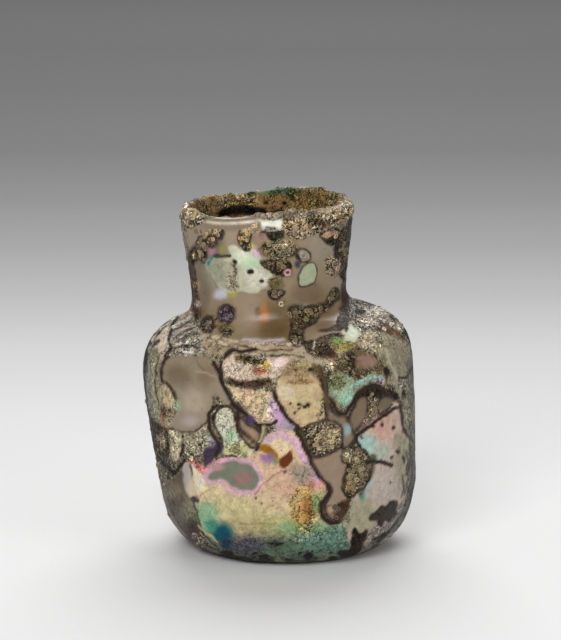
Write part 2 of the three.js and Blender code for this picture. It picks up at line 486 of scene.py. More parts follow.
# The iridescent films in the middle
MIDDLE_MARKS: Marks = (
    film((200, 180, 164), (222, 359), (235, 355), (252, 354), (266, 358), (277, 357), (289, 360),
        (282, 372), (272, 381), (258, 386), (244, 386), (232, 382), (225, 374), crust=0.4, soft=1),
    tint((208, 190, 178), 232, 370, 9, 7, crust=0.5), tint((224, 204, 206), 279, 364, 7, 6, crust=0.3),
    film((98, 82, 54), (234, 357), (244, 355), (256, 357), (266, 361), (268, 367), (256, 366), (242, 363),
        soft=2, crust=0.8),
    tint((178, 92, 82), 260, 371, 6, 4, crust=0.5), tint((222, 176, 96), 266, 366, 5, 4, crust=0.4),
    film((82, 60, 46), (227, 376), (240, 380), (254, 380), (268, 378), (272, 384), (258, 388), (242, 387),
        (232, 383), soft=1.5, crust=0.7),
    band(3.2, (222, 362), (221, 372), (223, 382)),
    band(2.5, (224, 359), (232, 352), (244, 352), (256, 351)),
    film((198, 178, 148), (226, 384), (240, 388), (255, 390), (270, 392), (277, 398), (277, 411),
        (273, 420), (265, 424), (258, 422), (249, 412), (241, 402), (233, 392), crust=0.5, soft=1),
    tint((196, 172, 190), 274, 408, 6, 12), tint((208, 180, 150), 246, 397, 10, 5),
    film((166, 142, 166), (277, 398), (282, 406), (288, 416), (294, 424), (301, 430), (298, 438),
        (286, 431), (277, 428), (274, 420), (278, 410), crust=0.1, height=0.05),
    tint((186, 150, 190), 279, 414, 4, 8), tint((140, 136, 148), 292, 430, 7, 5),
    film((184, 167, 130), (275, 398), (277, 384), (284, 371), (300, 364), (316, 366), (323, 380),
        (323, 395), (326, 403), (325, 415), (319, 421), (309, 424), (300, 427), (292, 422), (286, 415),
        (281, 406), crust=0.25, height=0.14),
    tint((152, 130, 98), 300, 371, 18, 8, crust=0.4),
    film((94, 76, 56), (312, 364), (322, 368), (330, 386), (330, 402), (325, 398), (321, 384), (313, 373),
        crust=0.5, soft=2),
    streak(4, (170, 154, 120), (316, 419), (322, 410), (323, 400), crust=0.9),
    tint((150, 120, 84), 300, 382, 14, 2.5, crust=0.5), tint((196, 186, 160), 286, 392, 8, 8),
    hole(300, 405, 2.5, 2), hole(305, 407, 2.5, 2), hole(309, 405, 1.8, 2), hole(290, 404, 1.6, 1.6),
    hole(295, 412, 1.6, 1.6), hole(310, 370, 3, 2), hole(296, 370, 1.2, 1.2), hole(299, 409, 1.5, 1),
    film((192, 193, 175), (217, 412), (221, 407), (228, 406), (234, 411), (236, 420), (236, 428),
        (241, 434), (248, 439), (256, 444), (262, 451), (255, 456), (240, 457), (226, 455), (221, 449),
        (222, 441), (219, 432), (214, 424), (214, 417), rim=1.5, crust=0.48, height=0.16),
    tint((156, 190, 158), 230, 436, 5, 6), tint((176, 176, 126), 236, 449, 16, 6, crust=0.7),
    tint((204, 200, 180), 222, 414, 6, 6),
    window((152, 130, 104), (236, 412), (241, 418), (248, 425), (255, 429), (260, 433), (258, 444),
        (253, 448), (245, 441), (239, 432), (237, 422), rim=2.5),
    tint((180, 150, 116), 250, 437, 5, 6),
    band(4.8, (214, 364), (219, 374), (222, 382), (227, 392), (233, 402), (240, 409), (247, 416),
        (254, 422), (262, 428)),
    tint((76, 50, 96), 250, 420, 5, 4),
    band(3.5, (257, 424), (264, 425), (272, 423), (276, 420)),
    band(3.5, (263, 429), (260, 440), (256, 450)),
    streak(2.5, (170, 160, 120), (264, 427), (261, 436), (258, 444), crust=None, soft=0.8),
    film((62, 54, 74), (205, 448), (212, 446), (217, 440), (223, 444), (222, 452), (214, 459), (212, 466),
        (206, 466), (203, 457), crust=0.3),
    tint((150, 146, 158), 212, 441, 4, 5),
    band(3.8, (218, 405), (211, 411), (209, 420), (211, 430), (216, 438), (219, 447), (216, 455)),
    band(3.0, (231, 404), (238, 411), (239, 424), (244, 433), (253, 440), (262, 447)),
)

# The broad iridescent field low on the front
FIELD_MARKS: Marks = (
    film((197, 174, 142), (191, 463), (203, 471), (213, 463), (224, 457), (240, 457), (255, 453),
        (260, 446), (264, 437), (271, 431), (281, 430), (292, 431), (300, 438), (305, 448), (309, 458),
        (314, 468), (320, 477), (326, 485), (328, 492), (322, 499), (318, 506), (319, 514), (325, 521),
        (335, 524), (346, 520), (350, 530), (351, 543), (352, 557), (330, 562), (300, 565), (270, 564),
        (245, 559), (225, 550), (210, 539), (203, 529), (200, 515), (199, 505), (199, 492), (196, 478),
        crust=0.28, height=0.12, soft=1),
    band(1.2, (191, 463), (194, 478), (197.5, 494)),
    tint((214, 200, 158), 208, 490, 18, 16), tint((198, 177, 148), 268, 490, 44, 26),
    tint((196, 164, 142), 285, 482, 22, 16), tint((194, 186, 142), 232, 510, 34, 12),
    tint((176, 172, 124), 278, 524, 44, 10), tint((140, 178, 144), 207, 514, 11, 12),
    tint((96, 116, 98), 285, 549, 68, 14, crust=0.5), tint((108, 144, 128), 328, 538, 30, 16, crust=0.55),
    tint((134, 164, 120), 300, 528, 26, 6), tint((16, 84, 102), 222, 533, 11, 10),
    tint((70, 150, 130), 211, 526, 6, 6), tint((30, 62, 96), 228, 543, 7, 6),
    tint((88, 88, 98), 247, 546, 17, 10, crust=0.6), tint((74, 84, 80), 275, 543, 7, 4, crust=0.8),
    tint((184, 148, 80), 304, 507, 11, 21, crust=0.8), tint((140, 104, 50), 309, 512, 5, 12, crust=0.8),
    tint((196, 168, 112), 297, 502, 6, 10, crust=0.62), tint((176, 176, 132), 320, 500, 6, 10, crust=0.5),
    tint((130, 148, 96), 316, 503, 4, 9), tint((196, 190, 140), 322, 515, 5, 6),
    tint((206, 150, 134), 319, 481, 9, 6), tint((208, 190, 156), 279, 446, 15, 11),
    streak(7, (204, 168, 194), (266, 440), (276, 434), (288, 437), (298, 446), (303, 457), (309, 468),
        (318, 479), crust=None, soft=3),
    tint((148, 138, 124), 302, 474, 11, 10, crust=0.4),
    streak(6, (208, 138, 134), (192, 461), (200, 467), (207, 472), (213, 466), (224, 460), crust=None,
        soft=1.5),
    Patch((219, 212, 192), outline=((193, 464), (199, 472), (205, 481), (201, 491), (197, 492)), soft=1),
    Patch((110, 116, 102), fringe=8, fringe_colour=(200, 160, 186), soft=1.5, height=0.05,
        ground=Ground.FILM, crust=0.05, outline=((208, 478), (214, 470), (222, 463), (232, 461),
        (245, 463), (254, 469), (259, 478), (257, 486), (250, 490), (240, 489), (230, 485), (222, 479),
        (212, 480))),
    tint((140, 110, 106), 243, 478, 9, 6), tint((168, 138, 138), 217, 467, 7, 4),
    film((138, 100, 24), (259, 449), (262, 444), (268, 445), (275, 451), (280, 459), (277, 463),
        (271, 456), (264, 452), crust=0.2, soft=1),
    tint((152, 112, 152), 268, 458, 7, 5), tint((108, 124, 112), 275, 461, 4, 4),
    film((94, 50, 22), (279, 462), (282, 457), (287, 452), (291, 449), (293, 456), (290, 464), (285, 468),
        (280, 467), crust=0.1, soft=1),
    tint((150, 136, 50), 277.5, 460, 1.8, 3),
    band(5.2, (297, 431), (302, 440), (306, 448), (309, 456), (312, 464), (317, 472), (323, 479),
        (328, 486), (328, 493), (324, 500), (321, 507), (322, 515), (327, 521), (336, 522), (343, 517),
        (346, 508)),
    streak(1.2, (214, 206, 174), (193, 465), (196, 479), (199.5, 492), crust=0),
    film((66, 56, 66), (190, 498), (194, 496), (199, 499), (198, 502), (193, 503), crust=0.2, soft=0.8,
        height=0.05),
    streak(1.8, (64, 62, 54), (194, 504), (197, 514), (200, 526), crust=0.3),
    streak(1.3, (216, 202, 156), (198, 526), (204, 531), (211, 536), (218, 542), crust=0.2),
    hole(265, 558, 7, 3.6), hole(308, 556, 4.5, 4), hole(343, 553, 6, 4), hole(288, 560, 4, 1.6),
    hole(227, 553, 7, 3), hole(316, 558, 3, 1.6), hole(277, 545, 3, 1.4), hole(331, 552, 2, 1.5),
    hole(300, 553, 2, 1.2), hole(256, 553, 2.5, 1.2), hole(352, 549, 3, 2), hole(333, 558, 5, 2),
    streak(2.2, (42, 36, 31), (230, 557), (246, 559), (258, 557), (273, 561), crust=0.5),
    streak(2, (54, 56, 46), (292, 561), (306, 560), (320, 562), crust=0.5),
    hole(272, 543, 2, 1), hole(281, 543, 1.5, 1), hole(256, 498, 1.2, 1.2), hole(262, 503, 1, 1),
    hole(285, 472, 1.2, 1.2),
    streak(1.2, (150, 112, 92), (255, 494), (266, 482), (276, 474), (286, 470), crust=None, soft=0.8),
    streak(0.8, (150, 132, 100), (200, 498), (208, 491), (215, 487), crust=0.3),
    streak(0.8, (150, 128, 100), (280, 500), (287, 492), (291, 482), crust=0.3),
    streak(0.8, (140, 132, 92), (232, 521), (252, 524), (276, 523), crust=0.3),
    streak(0.8, (150, 126, 102), (262, 512), (270, 506), (281, 508), crust=0.3),
    # painted shade: this dark band along the foot, where the body meets the floor
    streak(4.5, (44, 38, 33), (226, 555), (262, 563), (300, 566), (350, 561), soft=2, crust=0.6),
)

# The windows, crusts and films to the right
RIGHT_MARKS: Marks = (
    film((152, 147, 126), (380, 334), (395, 337), (409, 346), (413, 362), (412, 392), (402, 398),
        (390, 382), (380, 368), (376, 350), crust=0.45, soft=2.5),
    film((188, 176, 150), (358, 336), (368, 330), (380, 334), (384, 344), (376, 350), (364, 346),
        crust=0.8, soft=2),
    streak(2, (130, 124, 106), (388, 340), (392, 356), (399, 374), crust=0.2),
    streak(2, (172, 166, 146), (384, 344), (389, 362), (396, 378), crust=0.2),
    streak(2, (134, 128, 110), (398, 346), (402, 362), (404, 378), crust=0.2),
    film((100, 88, 62), (328, 374), (340, 360), (352, 348), (368, 346), (380, 360), (386, 376), (374, 374),
        (362, 380), (350, 378), (340, 372), crust=0.85, soft=2, height=0.2),
    tint((200, 190, 160), 371, 343, 10, 8, crust=0.8),
    film((116, 98, 76), (356, 354), (366, 352), (376, 358), (386, 370), (388, 378), (374, 374), (362, 366),
        crust=0.5, soft=2),
    tint((136, 108, 102), 366, 361, 9, 6, crust=0.15),
    film((144, 158, 134), (326, 384), (332, 379), (341, 372), (350, 377), (358, 381), (366, 375),
        (374, 372), (384, 377), (370, 383), (359, 387), (352, 393), (350, 406), (343, 407), (335, 401),
        (329, 393), crust=0.36, height=0.12, soft=1),
    tint((106, 112, 72), 335, 381, 10, 7, crust=0.75), tint((152, 194, 174), 348, 398, 8, 8),
    streak(3, (152, 190, 188), (352, 386), (362, 381), (372, 377), (382, 378), crust=0.4),
    tint((200, 178, 196), 379, 382, 4, 3),
    film((64, 50, 38), (352, 408), (354, 398), (358, 391), (366, 387), (378, 387), (390, 390), (399, 397),
        (398, 404), (386, 412), (372, 420), (362, 428), (352, 434), (346, 424), (349, 414), crust=0.8,
        soft=1, height=0.14),
    window((128, 110, 84), (358, 400), (363, 397), (367, 400), (367, 410), (363, 420), (358, 428),
        (353, 432), (349, 424), (352, 412), rim=1.5),
    film(CRUST, (369, 400), (375, 398), (381, 402), (378, 410), (372, 417), (366, 423), (363, 421),
        (367, 411), crust=1, height=0.3, soft=1),
    window((114, 101, 72), (382, 398), (390, 398), (397, 403), (388, 409), (379, 415), (377, 407), rim=1.5),
    film((188, 169, 158), (398, 401), (402, 418), (406, 432), (413, 442), (414, 470), (411, 492),
        (406, 508), (397, 522), (386, 532), (372, 542), (352, 546), (347, 533), (350, 517), (352, 499),
        (361, 490), (369, 478), (371, 464), (366, 453), (358, 442), (355, 434), (360, 429), (372, 422),
        (386, 411), crust=0.24, height=0.1),
    tint((192, 156, 144), 378, 426, 15, 13),
    film((154, 148, 128), (394, 436), (406, 436), (413, 446), (413, 470), (409, 492), (400, 498),
        (393, 484), (395, 460), crust=0.3, soft=4, height=0.1),
    tint((160, 194, 190), 366, 447, 11, 13), tint((166, 178, 166), 380, 452, 10, 8),
    tint((176, 166, 160), 384, 488, 18, 18), tint((152, 152, 127), 360, 514, 17, 17),
    tint((178, 170, 164), 377, 484, 12, 14), tint((88, 128, 118), 362, 494, 3, 8),
    film((140, 138, 122), (409, 452), (418, 446), (420, 492), (412, 514), (400, 524), (400, 508),
        (406, 494), crust=0.5, soft=2),
    film((146, 142, 124), (398, 404), (402, 380), (412, 366), (420, 380), (418, 440), (411, 442),
        (405, 433), (402, 420), crust=0.7, soft=1),
    film((156, 151, 145), (366, 552), (368, 535), (374, 526), (384, 524), (392, 514), (400, 504),
        (408, 492), (416, 500), (408, 530), (394, 547), (378, 557), (360, 563), crust=0.7, soft=2),
    # painted shadow: this dark olive band beside the crust lump
    streak(5, (94, 94, 72), (373, 456), (371, 470), (366, 482), (361, 492), soft=2, crust=0.4),
    tint((152, 166, 170), 367, 485, 3.5, 7),
    streak(1.6, (184, 178, 170), (376, 550), (389, 537), (401, 520)),
    streak(2, (52, 46, 42), (372, 540), (385, 533), (397, 521)),
    streak(1.6, (196, 190, 182), (386, 532), (394, 527)),
    streak(1.8, (60, 54, 50), (366, 556), (384, 546), (400, 528)),
    film((56, 48, 43), (368, 519), (372, 514), (377, 511), (381, 506), (385, 505), (389, 501), (395, 500),
        (398, 505), (396, 510), (398, 514), (393, 517), (389, 521), (385, 521), (381, 527), (378, 524),
        (376, 520), (372, 521), crust=0.4, soft=1, height=0.05),
    film((52, 38, 31), (352, 531), (355, 528), (360, 533), (366, 529), (367, 537), (362, 545), (356, 555),
        (346, 560), (350, 546), crust=0.8, soft=1.2, height=0.2),
    streak(5, (60, 50, 44), (344, 560), (362, 556), (378, 548), crust=0.9, soft=2.5),
    # painted edge shade: this dark line just inside the lower right outline
    streak(3, (70, 64, 60), (411, 446), (412, 480), (405, 508), (392, 528), (372, 546), crust=None,
        soft=1.5),
    window((138, 119, 95), (327, 402), (335, 414), (345, 417), (351, 427), (355, 437), (350, 446),
        (344, 450), (341, 437), (338, 425), (328, 422), rim=3),
    window((158, 138, 116), (312, 459), (322, 457), (332, 454), (341, 448), (345, 456), (347, 468),
        (344, 480), (345, 491), (348, 498), (347, 506), (342, 515), (334, 519), (327, 515), (325, 507),
        (328, 500), (331, 494), (331, 487), (325, 480), (318, 472), (314, 465), rim=2),
    film((70, 50, 38), (336, 506), (341, 501), (349, 498), (347, 508), (343, 516), (336, 519), (334, 513),
        crust=0.5, soft=1, height=0.15),
    tint((150, 182, 192), 347, 430, 4, 6), tint((182, 164, 136), 331, 509, 5, 5),
    streak(1.5, (116, 92, 70), (326, 509), (330, 505), (335, 509), (331, 514), (326, 509), crust=None,
        soft=0.7),
    film((134, 121, 94), (301, 430), (311, 423), (321, 421), (333, 421), (341, 427), (342, 436),
        (340, 446), (333, 451), (326, 455), (318, 458), (312, 453), (310, 445), (306, 439), rim=1.2,
        crust=0.9, height=0.34),
    tint((164, 152, 116), 330, 432, 6, 5, crust=0.85), tint((100, 86, 60), 314, 442, 7, 8, crust=0.95),
    tint((108, 92, 68), 333, 446, 6, 4, crust=0.95),
    film((124, 110, 80), (342, 452), (348, 447), (360, 448), (368, 455), (371, 464), (369, 476),
        (364, 486), (358, 490), (353, 495), (347, 496), (343, 489), (345, 477), (349, 466), (342, 462),
        rim=1.5, crust=0.85, height=0.34),
    tint((186, 178, 150), 348, 454, 6, 4, crust=0.85), tint((164, 134, 82), 350, 488, 4, 6, crust=0.7),
    band(4.0, (321, 372), (323, 386), (329, 397), (333, 405), (338, 412), (345, 413), (350, 406),
        (354, 398), (360, 390), (369, 386), (380, 386)),
    band(3.8, (401, 405), (387, 413), (375, 421), (364, 429), (357, 435), (356, 440), (360, 446)),
    # painted edge shade: this broad darker band down the right side
    streak(8, (98, 98, 86), (411, 362), (413, 400), (414, 470), (408, 505), (396, 532), soft=4, crust=0.7),
    streak(1.2, (58, 54, 48), (406, 452), (407, 464), (405, 476), crust=0.5),
    streak(1.2, (66, 60, 54), (402, 476), (403, 488), (400, 498), crust=0.5),
    streak(1.4, (60, 56, 50), (411, 456), (411, 476), (408, 492), crust=0.5),
    # painted edge shade: this dark line along the right outline
    streak(3.4, (46, 41, 34), (400, 321), (410, 342), (414.5, 370), (415.5, 410), (416, 460), (412, 492),
        (405, 518), (386, 544), (360, 558), crust=0.6),
    streak(1.5, (150, 144, 124), (413, 385), (414, 410), (413, 440), soft=0.8),
    streak(2, (84, 82, 72), (410, 446), (408, 470), (404, 494)),
    band(4.2, (275, 392), (276, 399), (281, 407), (287, 416), (294, 423), (301, 429)),
    band(4.4, (318, 366), (323, 376), (326, 388), (327, 400), (327, 410), colour=(78, 61, 45)),
    streak(1.4, (40, 31, 26), (320, 368), (325, 379), (328, 392), crust=0.3),
    band(4.5, (366, 462), (378, 461), (391, 465)),
    band(3.0, (399, 402), (401, 415), (403, 428), (407, 436), (413, 441)),
    streak(2.4, (44, 38, 33), (414, 365), (409, 372), (405, 378), (399, 378), crust=0.6),
    tint((176, 170, 152), 401, 384, 4, 4, crust=0.8), tint((62, 54, 46), 404, 394, 2, 4, crust=0.8),
    hole(372, 426, 2.8, 2.4), hole(382, 425, 2.2, 2.2), hole(394, 428, 1.8, 2.6), hole(398, 452, 1.6, 2.2),
    hole(392, 457, 1.8, 1.8), hole(403, 459, 1.4, 4), hole(361, 437, 1.4, 1.4), hole(390, 483, 1, 1),
    hole(386, 372, 3, 4),
)

# The shoulder, from left to right
SHOULDER_MARKS: Marks = (
    film((166, 152, 132), (203, 330), (225, 336), (262, 345), (300, 342), (345, 326), (362, 338),
        (340, 356), (318, 366), (300, 362), (278, 362), (262, 355), (240, 352), (220, 356), (205, 350),
        crust=0.3, soft=3),
    streak(3.5, (66, 52, 42), (226, 354), (232, 350), (244, 351), (256, 349), crust=None),
    streak(4, (128, 110, 84), (222, 344), (236, 347), (252, 346), crust=None, soft=2),
    tint((150, 132, 104), 216, 343, 12, 8, crust=0.6), tint((196, 182, 160), 262, 347, 20, 4),
    streak(1.6, (104, 86, 66), (240, 345), (262, 351), (292, 350), crust=0.5),
    streak(1.4, (88, 72, 56), (270, 356), (288, 355), (304, 358), crust=0.5),
    streak(1.6, (206, 192, 170), (210, 341), (226, 344), (240, 349), crust=0.5),
    film((92, 80, 60), (302, 338), (314, 330), (330, 334), (344, 334), (338, 346), (328, 358), (312, 356),
        (304, 348), crust=0.95, soft=2, height=0.2),
    streak(1.5, (206, 200, 186), (306, 336), (314, 342), (312, 350), crust=None, soft=0.8),
    tint((150, 146, 84), 346, 347, 13, 5, crust=0.8), tint((120, 150, 80), 338, 341, 6, 3, crust=0.5),
    tint((70, 48, 34), 330, 355, 7, 3.5, crust=0.6), tint((206, 178, 150), 334, 364, 6, 4, crust=0.9),
    tint((198, 206, 186), 353, 333, 10, 8, crust=0.2),
    film((138, 132, 122), (346, 300), (368, 302), (388, 312), (404, 330), (411, 346), (394, 340),
        (376, 336), (362, 334), (350, 322), crust=1, soft=2.5, height=0.25),
    streak(3, (56, 50, 44), (356, 303), (374, 307), (390, 317), (404, 334), crust=1, soft=2),
    tint((236, 230, 218), 376, 312, 13, 5, crust=1), tint((216, 202, 186), 366, 323, 8, 5, crust=1),
    tint((222, 212, 196), 397, 328, 6, 5, crust=1), tint((60, 54, 48), 360, 313, 6, 3, crust=1),
    tint((70, 62, 54), 384, 330, 8, 5, crust=1),
    film((110, 90, 60), (380, 327), (390, 326), (401, 334), (406, 342), (396, 340), (384, 334), crust=0.9,
        soft=1.5),
    tint((186, 160, 120), 370, 344, 10, 5, crust=0.8),
)

# The neck
NECK_MARKS: Marks = (
    window((154, 136, 108), (186, 229), (203, 224), (210, 221), (262, 220), (284, 232), (340, 228),
        (348, 232), (344, 290), (341, 326), (322, 336), (300, 342), (262, 342), (226, 338), (204, 328),
        (199, 300), (194, 262), rim=0),
    tint((114, 92, 60), 274, 322, 20, 22), tint((126, 104, 76), 327, 318, 13, 13),
    tint((122, 102, 76), 308, 294, 16, 12), tint((170, 156, 132), 222, 236, 24, 10),
    tint((116, 96, 66), 202, 282, 8, 30), tint((110, 92, 64), 212, 246, 10, 14),
    tint((160, 148, 128), 318, 246, 14, 16), tint((166, 146, 124), 246, 312, 14, 22),
    film((176, 176, 156), (206, 266), (211, 258), (222, 258), (229, 254), (228, 246), (234, 245),
        (242, 250), (252, 249), (259, 253), (261, 262), (268, 264), (273, 270), (271, 282), (262, 290),
        (252, 294), (240, 292), (230, 294), (220, 288), (213, 280), crust=0.2, height=0.16, soft=1.5),
    tint((146, 148, 130), 216, 273, 12, 14, crust=0.25), tint((206, 210, 192), 244, 256, 13, 8),
    tint((200, 200, 186), 256, 278, 12, 10, crust=0.3), tint((168, 160, 138), 232, 282, 5, 9, crust=0.8),
    tint((212, 172, 200), 257, 255, 4, 8),
    streak(2, (110, 98, 80), (231, 264), (236, 270), (234, 280), (238, 288), soft=2),
    # painted highlight: the second tint, a lilac-white spot low on the neck's left
    tint((176, 204, 172), 252, 262, 12, 6), tint((210, 214, 232), 221, 294, 7, 5),
    streak(2.4, (18, 128, 116), (209, 263), (213, 258), (217, 257), crust=None, soft=0.8),
    streak(3, DARK, (214, 256), (222, 257), (230, 256), crust=None),
    hole(251, 271, 2.8, 2.6), hole(235, 262, 2.4, 2.2), hole(261, 281, 2, 1.8),
    film((88, 72, 54), (260, 261), (267, 259), (280, 258), (290, 262), (292, 270), (286, 276), (276, 275),
        (268, 270), crust=0.8, height=0.3),
    film((128, 112, 84), (262, 243), (274, 240), (290, 240), (298, 246), (296, 256), (280, 259),
        (266, 256), (258, 250), crust=0.75, height=0.24, soft=2.5),
    tint((206, 188, 150), 285, 245, 6, 4, crust=1),
    film((104, 94, 64), (270, 278), (281, 277), (284, 286), (276, 290), (268, 286), crust=0.6, soft=2),
    film((150, 142, 122), (297, 252), (304, 249), (310, 254), (308, 261), (300, 262), rim=1.5, crust=0.1,
        height=0.2),
    tint((36, 48, 78), 298, 265, 3, 3.4),
    film((156, 164, 140), (300, 272), (305, 266), (312, 262), (317, 269), (315, 281), (308, 286),
        (300, 286), (298, 280), rim=0.7, crust=0.1, height=0.16),
    clump(194, 255, 3, 8, (132, 108, 76)),
    clump(201, 244, 5, 7, (128, 112, 84)),
    clump(202, 255, 4, 6, (140, 122, 92)),
    clump(211, 242, 5, 6, (134, 116, 84)),
    clump(218, 233, 5.5, 5.5, (178, 156, 116)),
    tint((212, 192, 150), 217, 232, 4, 4, crust=1), tint((150, 146, 84), 222, 250, 4, 5),
    tint((176, 130, 146), 212, 251, 4, 5),
    chain(8, (144, 122, 84), (262, 228), (252, 228), (244, 232), (242, 240), (247, 247)),
    chain(5, (110, 92, 62), (250, 236), (247, 242)),
    tint((214, 196, 150), 255, 230, 6, 4, crust=1), tint((206, 196, 130), 251, 246, 4, 3),
    tint((160, 126, 118), 261, 237, 6, 5, crust=0.3),
    film((60, 62, 46), (268, 232), (282, 231), (284, 238), (276, 242), (268, 238), crust=0.9, soft=1),
    film((160, 140, 110), (284, 226), (298, 224), (314, 222), (324, 227), (316, 234), (302, 240),
        (288, 237), crust=1, height=0.32, soft=1.5),
    tint((190, 162, 140), 304, 229, 12, 4, crust=1),
    film((172, 146, 118), (320, 234), (329, 229), (338, 230), (339, 236), (331, 238), (323, 239), rim=1.5,
        crust=0.6, height=0.3, soft=1),
    film((58, 54, 38), (322, 238), (331, 239), (338, 237), (336, 243), (328, 245), crust=0.8, soft=1,
        height=0.2),
    film((96, 80, 58), (336, 242), (344, 228), (349, 234), (349, 264), (346, 282), (339, 274), (335, 258),
        crust=1, rim=1.5, height=0.26, soft=1),
    film((160, 138, 116), (324, 262), (329, 256), (337, 260), (340, 270), (335, 278), (327, 273),
        crust=0.9, height=0.22, soft=1.5),
    film((98, 82, 58), (332, 289), (338, 290), (338, 298), (332, 304), (326, 310), (317, 312), (316, 306),
        (325, 303), rim=1, crust=1, height=0.28, soft=1),
    film((104, 88, 60), (288, 310), (294, 305), (303, 308), (312, 305), (318, 309), (318, 320), (308, 326),
        (303, 332), (304, 344), (292, 346), (290, 334), (291, 322), rim=1.5, crust=0.95, height=0.3,
        soft=1),
    film((64, 50, 42), (341, 286), (346, 284), (345, 326), (332, 332), (318, 331), (334, 325), (340, 308),
        crust=0.5, soft=1.5),
    film((84, 70, 82), (219, 308), (227, 304), (233, 310), (232, 320), (226, 324), (220, 318), rim=1.5,
        crust=1, height=0.26, soft=1),
    film((110, 92, 74), (202, 322), (208, 316), (213, 322), (212, 333), (204, 332), crust=1, soft=1.5,
        rim=1),
    film((112, 100, 62), (220, 326), (228, 324), (234, 330), (228, 338), (221, 335), crust=0.8, soft=1.5),
    tint((176, 172, 88), 232, 294, 5, 3),
    film((120, 102, 72), (269, 291), (283, 291), (281, 296), (276, 299), (270, 297), crust=1, rim=1,
        height=0.28, soft=1),
    tint((192, 122, 56), 264, 313, 4, 9), hole(259, 312, 1.6, 4),
    streak(1.4, (96, 78, 56), (276, 300), (280, 306), (284, 300), crust=None, soft=0.7),
    # painted edge shade: this dark brown band down the neck's left outline
    streak(7, (78, 58, 44), (190, 256), (194, 288), (197, 318), soft=2),
    tint((196, 150, 80), 197, 286, 3, 4, crust=0.9), tint((206, 190, 180), 198, 304, 2.4, 3, crust=0.9),
    tint((196, 166, 120), 193, 254, 2.5, 8, crust=1),
    # painted edge shade: this dark line down the neck's right outline
    streak(3.5, (60, 52, 46), (350, 212), (348, 250), (347, 290), (346, 330), crust=0.7, soft=1.5),
    # painted reflection: this lilac-white line at the foot of the neck, of the opening's inner edge
    streak(3.5, (218, 204, 226), (244, 339), (262, 341), (284, 339), crust=None, soft=2.5),
    streak(2.5, (206, 190, 168), (214, 338), (232, 341), (300, 345), crust=None, soft=2),
)

# The lip, its front edge and its crusted left and right ends
LIP_MARKS: Marks = (
    film((160, 143, 114), (180, 200), (196, 198), (202, 210), (200, 224), (184, 229), crust=1, height=0.04,
        soft=2),
    window((146, 132, 110), (203, 229), (203, 222), (210, 218), (236, 217), (262, 218), (264, 229),
        (236, 231), rim=0),
    # painted highlight: this thin white line along the lip's front edge
    streak(1.8, (240, 232, 216), (203, 222), (225, 222.5), (250, 222.5), (262, 222), crust=None, soft=0.8),
    # painted reflection: this white block on the front of the lip
    film((216, 216, 208), (261, 221), (263, 220), (271, 220), (280, 220), (282, 221), (282, 227),
        (280, 229), (271, 230), (263, 229), (261, 227), crust=0.2, height=0.16, soft=0.8),
    tint((150, 154, 146), 271, 228, 9, 2, crust=0.6),
    streak(2.5, (70, 62, 52), (262, 231), (272, 234), (284, 231)),
    film((178, 151, 104), (284, 220), (300, 220), (320, 217), (340, 208), (352, 202), (354, 214),
        (340, 222), (316, 229), (286, 232), crust=1, height=0.12, soft=2),
    # the pale tints on this line and the next, at both ends of the lip, are cream crust with painted glints
    tint((222, 210, 188), 346, 205, 6, 6, crust=1), tint((230, 218, 194), 186, 206, 4, 8, crust=1),
    tint((222, 208, 180), 194, 215, 4, 5, crust=1), tint((96, 80, 54), 190, 198, 7, 3, crust=1),
    streak(1.3, (232, 222, 198), (184, 203), (188, 211), (186, 222)),
    streak(1.2, (86, 70, 48), (189, 203), (192, 212), (190, 224)),
    streak(1.2, (226, 212, 180), (196, 204), (195, 213), (198, 221)),
    streak(1.4, (216, 202, 170), (290, 222), (306, 224), (322, 220), (338, 214)),
    streak(1.4, (80, 64, 44), (294, 228), (312, 230), (326, 225), (340, 218)),
    streak(1.2, (210, 194, 160), (300, 235), (314, 234), (326, 229)),
    streak(1.2, (224, 210, 180), (320, 213), (334, 209), (348, 200)),
    tint((88, 74, 52), 316, 222, 10, 3, crust=1), tint((206, 192, 158), 326, 216, 9, 3, crust=1),
)

# The inside of the neck, seen through the mouth
INSIDE_MARKS: Marks = (
    Patch((126, 102, 60), outline=((186, 214), (200, 200), (230, 194), (270, 190), (310, 190), (345, 200),
        (346, 222), (300, 228), (230, 228), (190, 226)), soft=3, crust=0.75, side=Side.INSIDE),
    Spot((136, 114, 76), centre=(214, 205), radii=(18, 8), soft=5, side=Side.INSIDE),
    Spot((146, 122, 76), centre=(250, 200), radii=(30, 5), soft=4, side=Side.INSIDE),
    Spot((66, 92, 52), centre=(272, 191), radii=(30, 4), soft=2, side=Side.INSIDE),
    Spot((140, 116, 64), centre=(318, 206), radii=(24, 10), soft=6, side=Side.INSIDE),
    Stroke((24, 17, 12), line=((222, 214), (240, 210), (262, 213)), width=9, soft=2.5, side=Side.INSIDE),
    Stroke((24, 17, 12), line=((268, 217), (280, 214), (292, 218)), width=8, soft=2.5, side=Side.INSIDE),
    Spot((30, 22, 14), centre=(266, 203), radii=(3, 2), soft=1, side=Side.INSIDE),
    Spot((30, 22, 14), centre=(285, 203), radii=(3, 2), soft=1, side=Side.INSIDE),
)

MARKS: Marks = (
    LEFT_MARKS + SHOULDER_MARKS + NECK_MARKS + LIP_MARKS
    + MIDDLE_MARKS + FIELD_MARKS + RIGHT_MARKS + INSIDE_MARKS
)


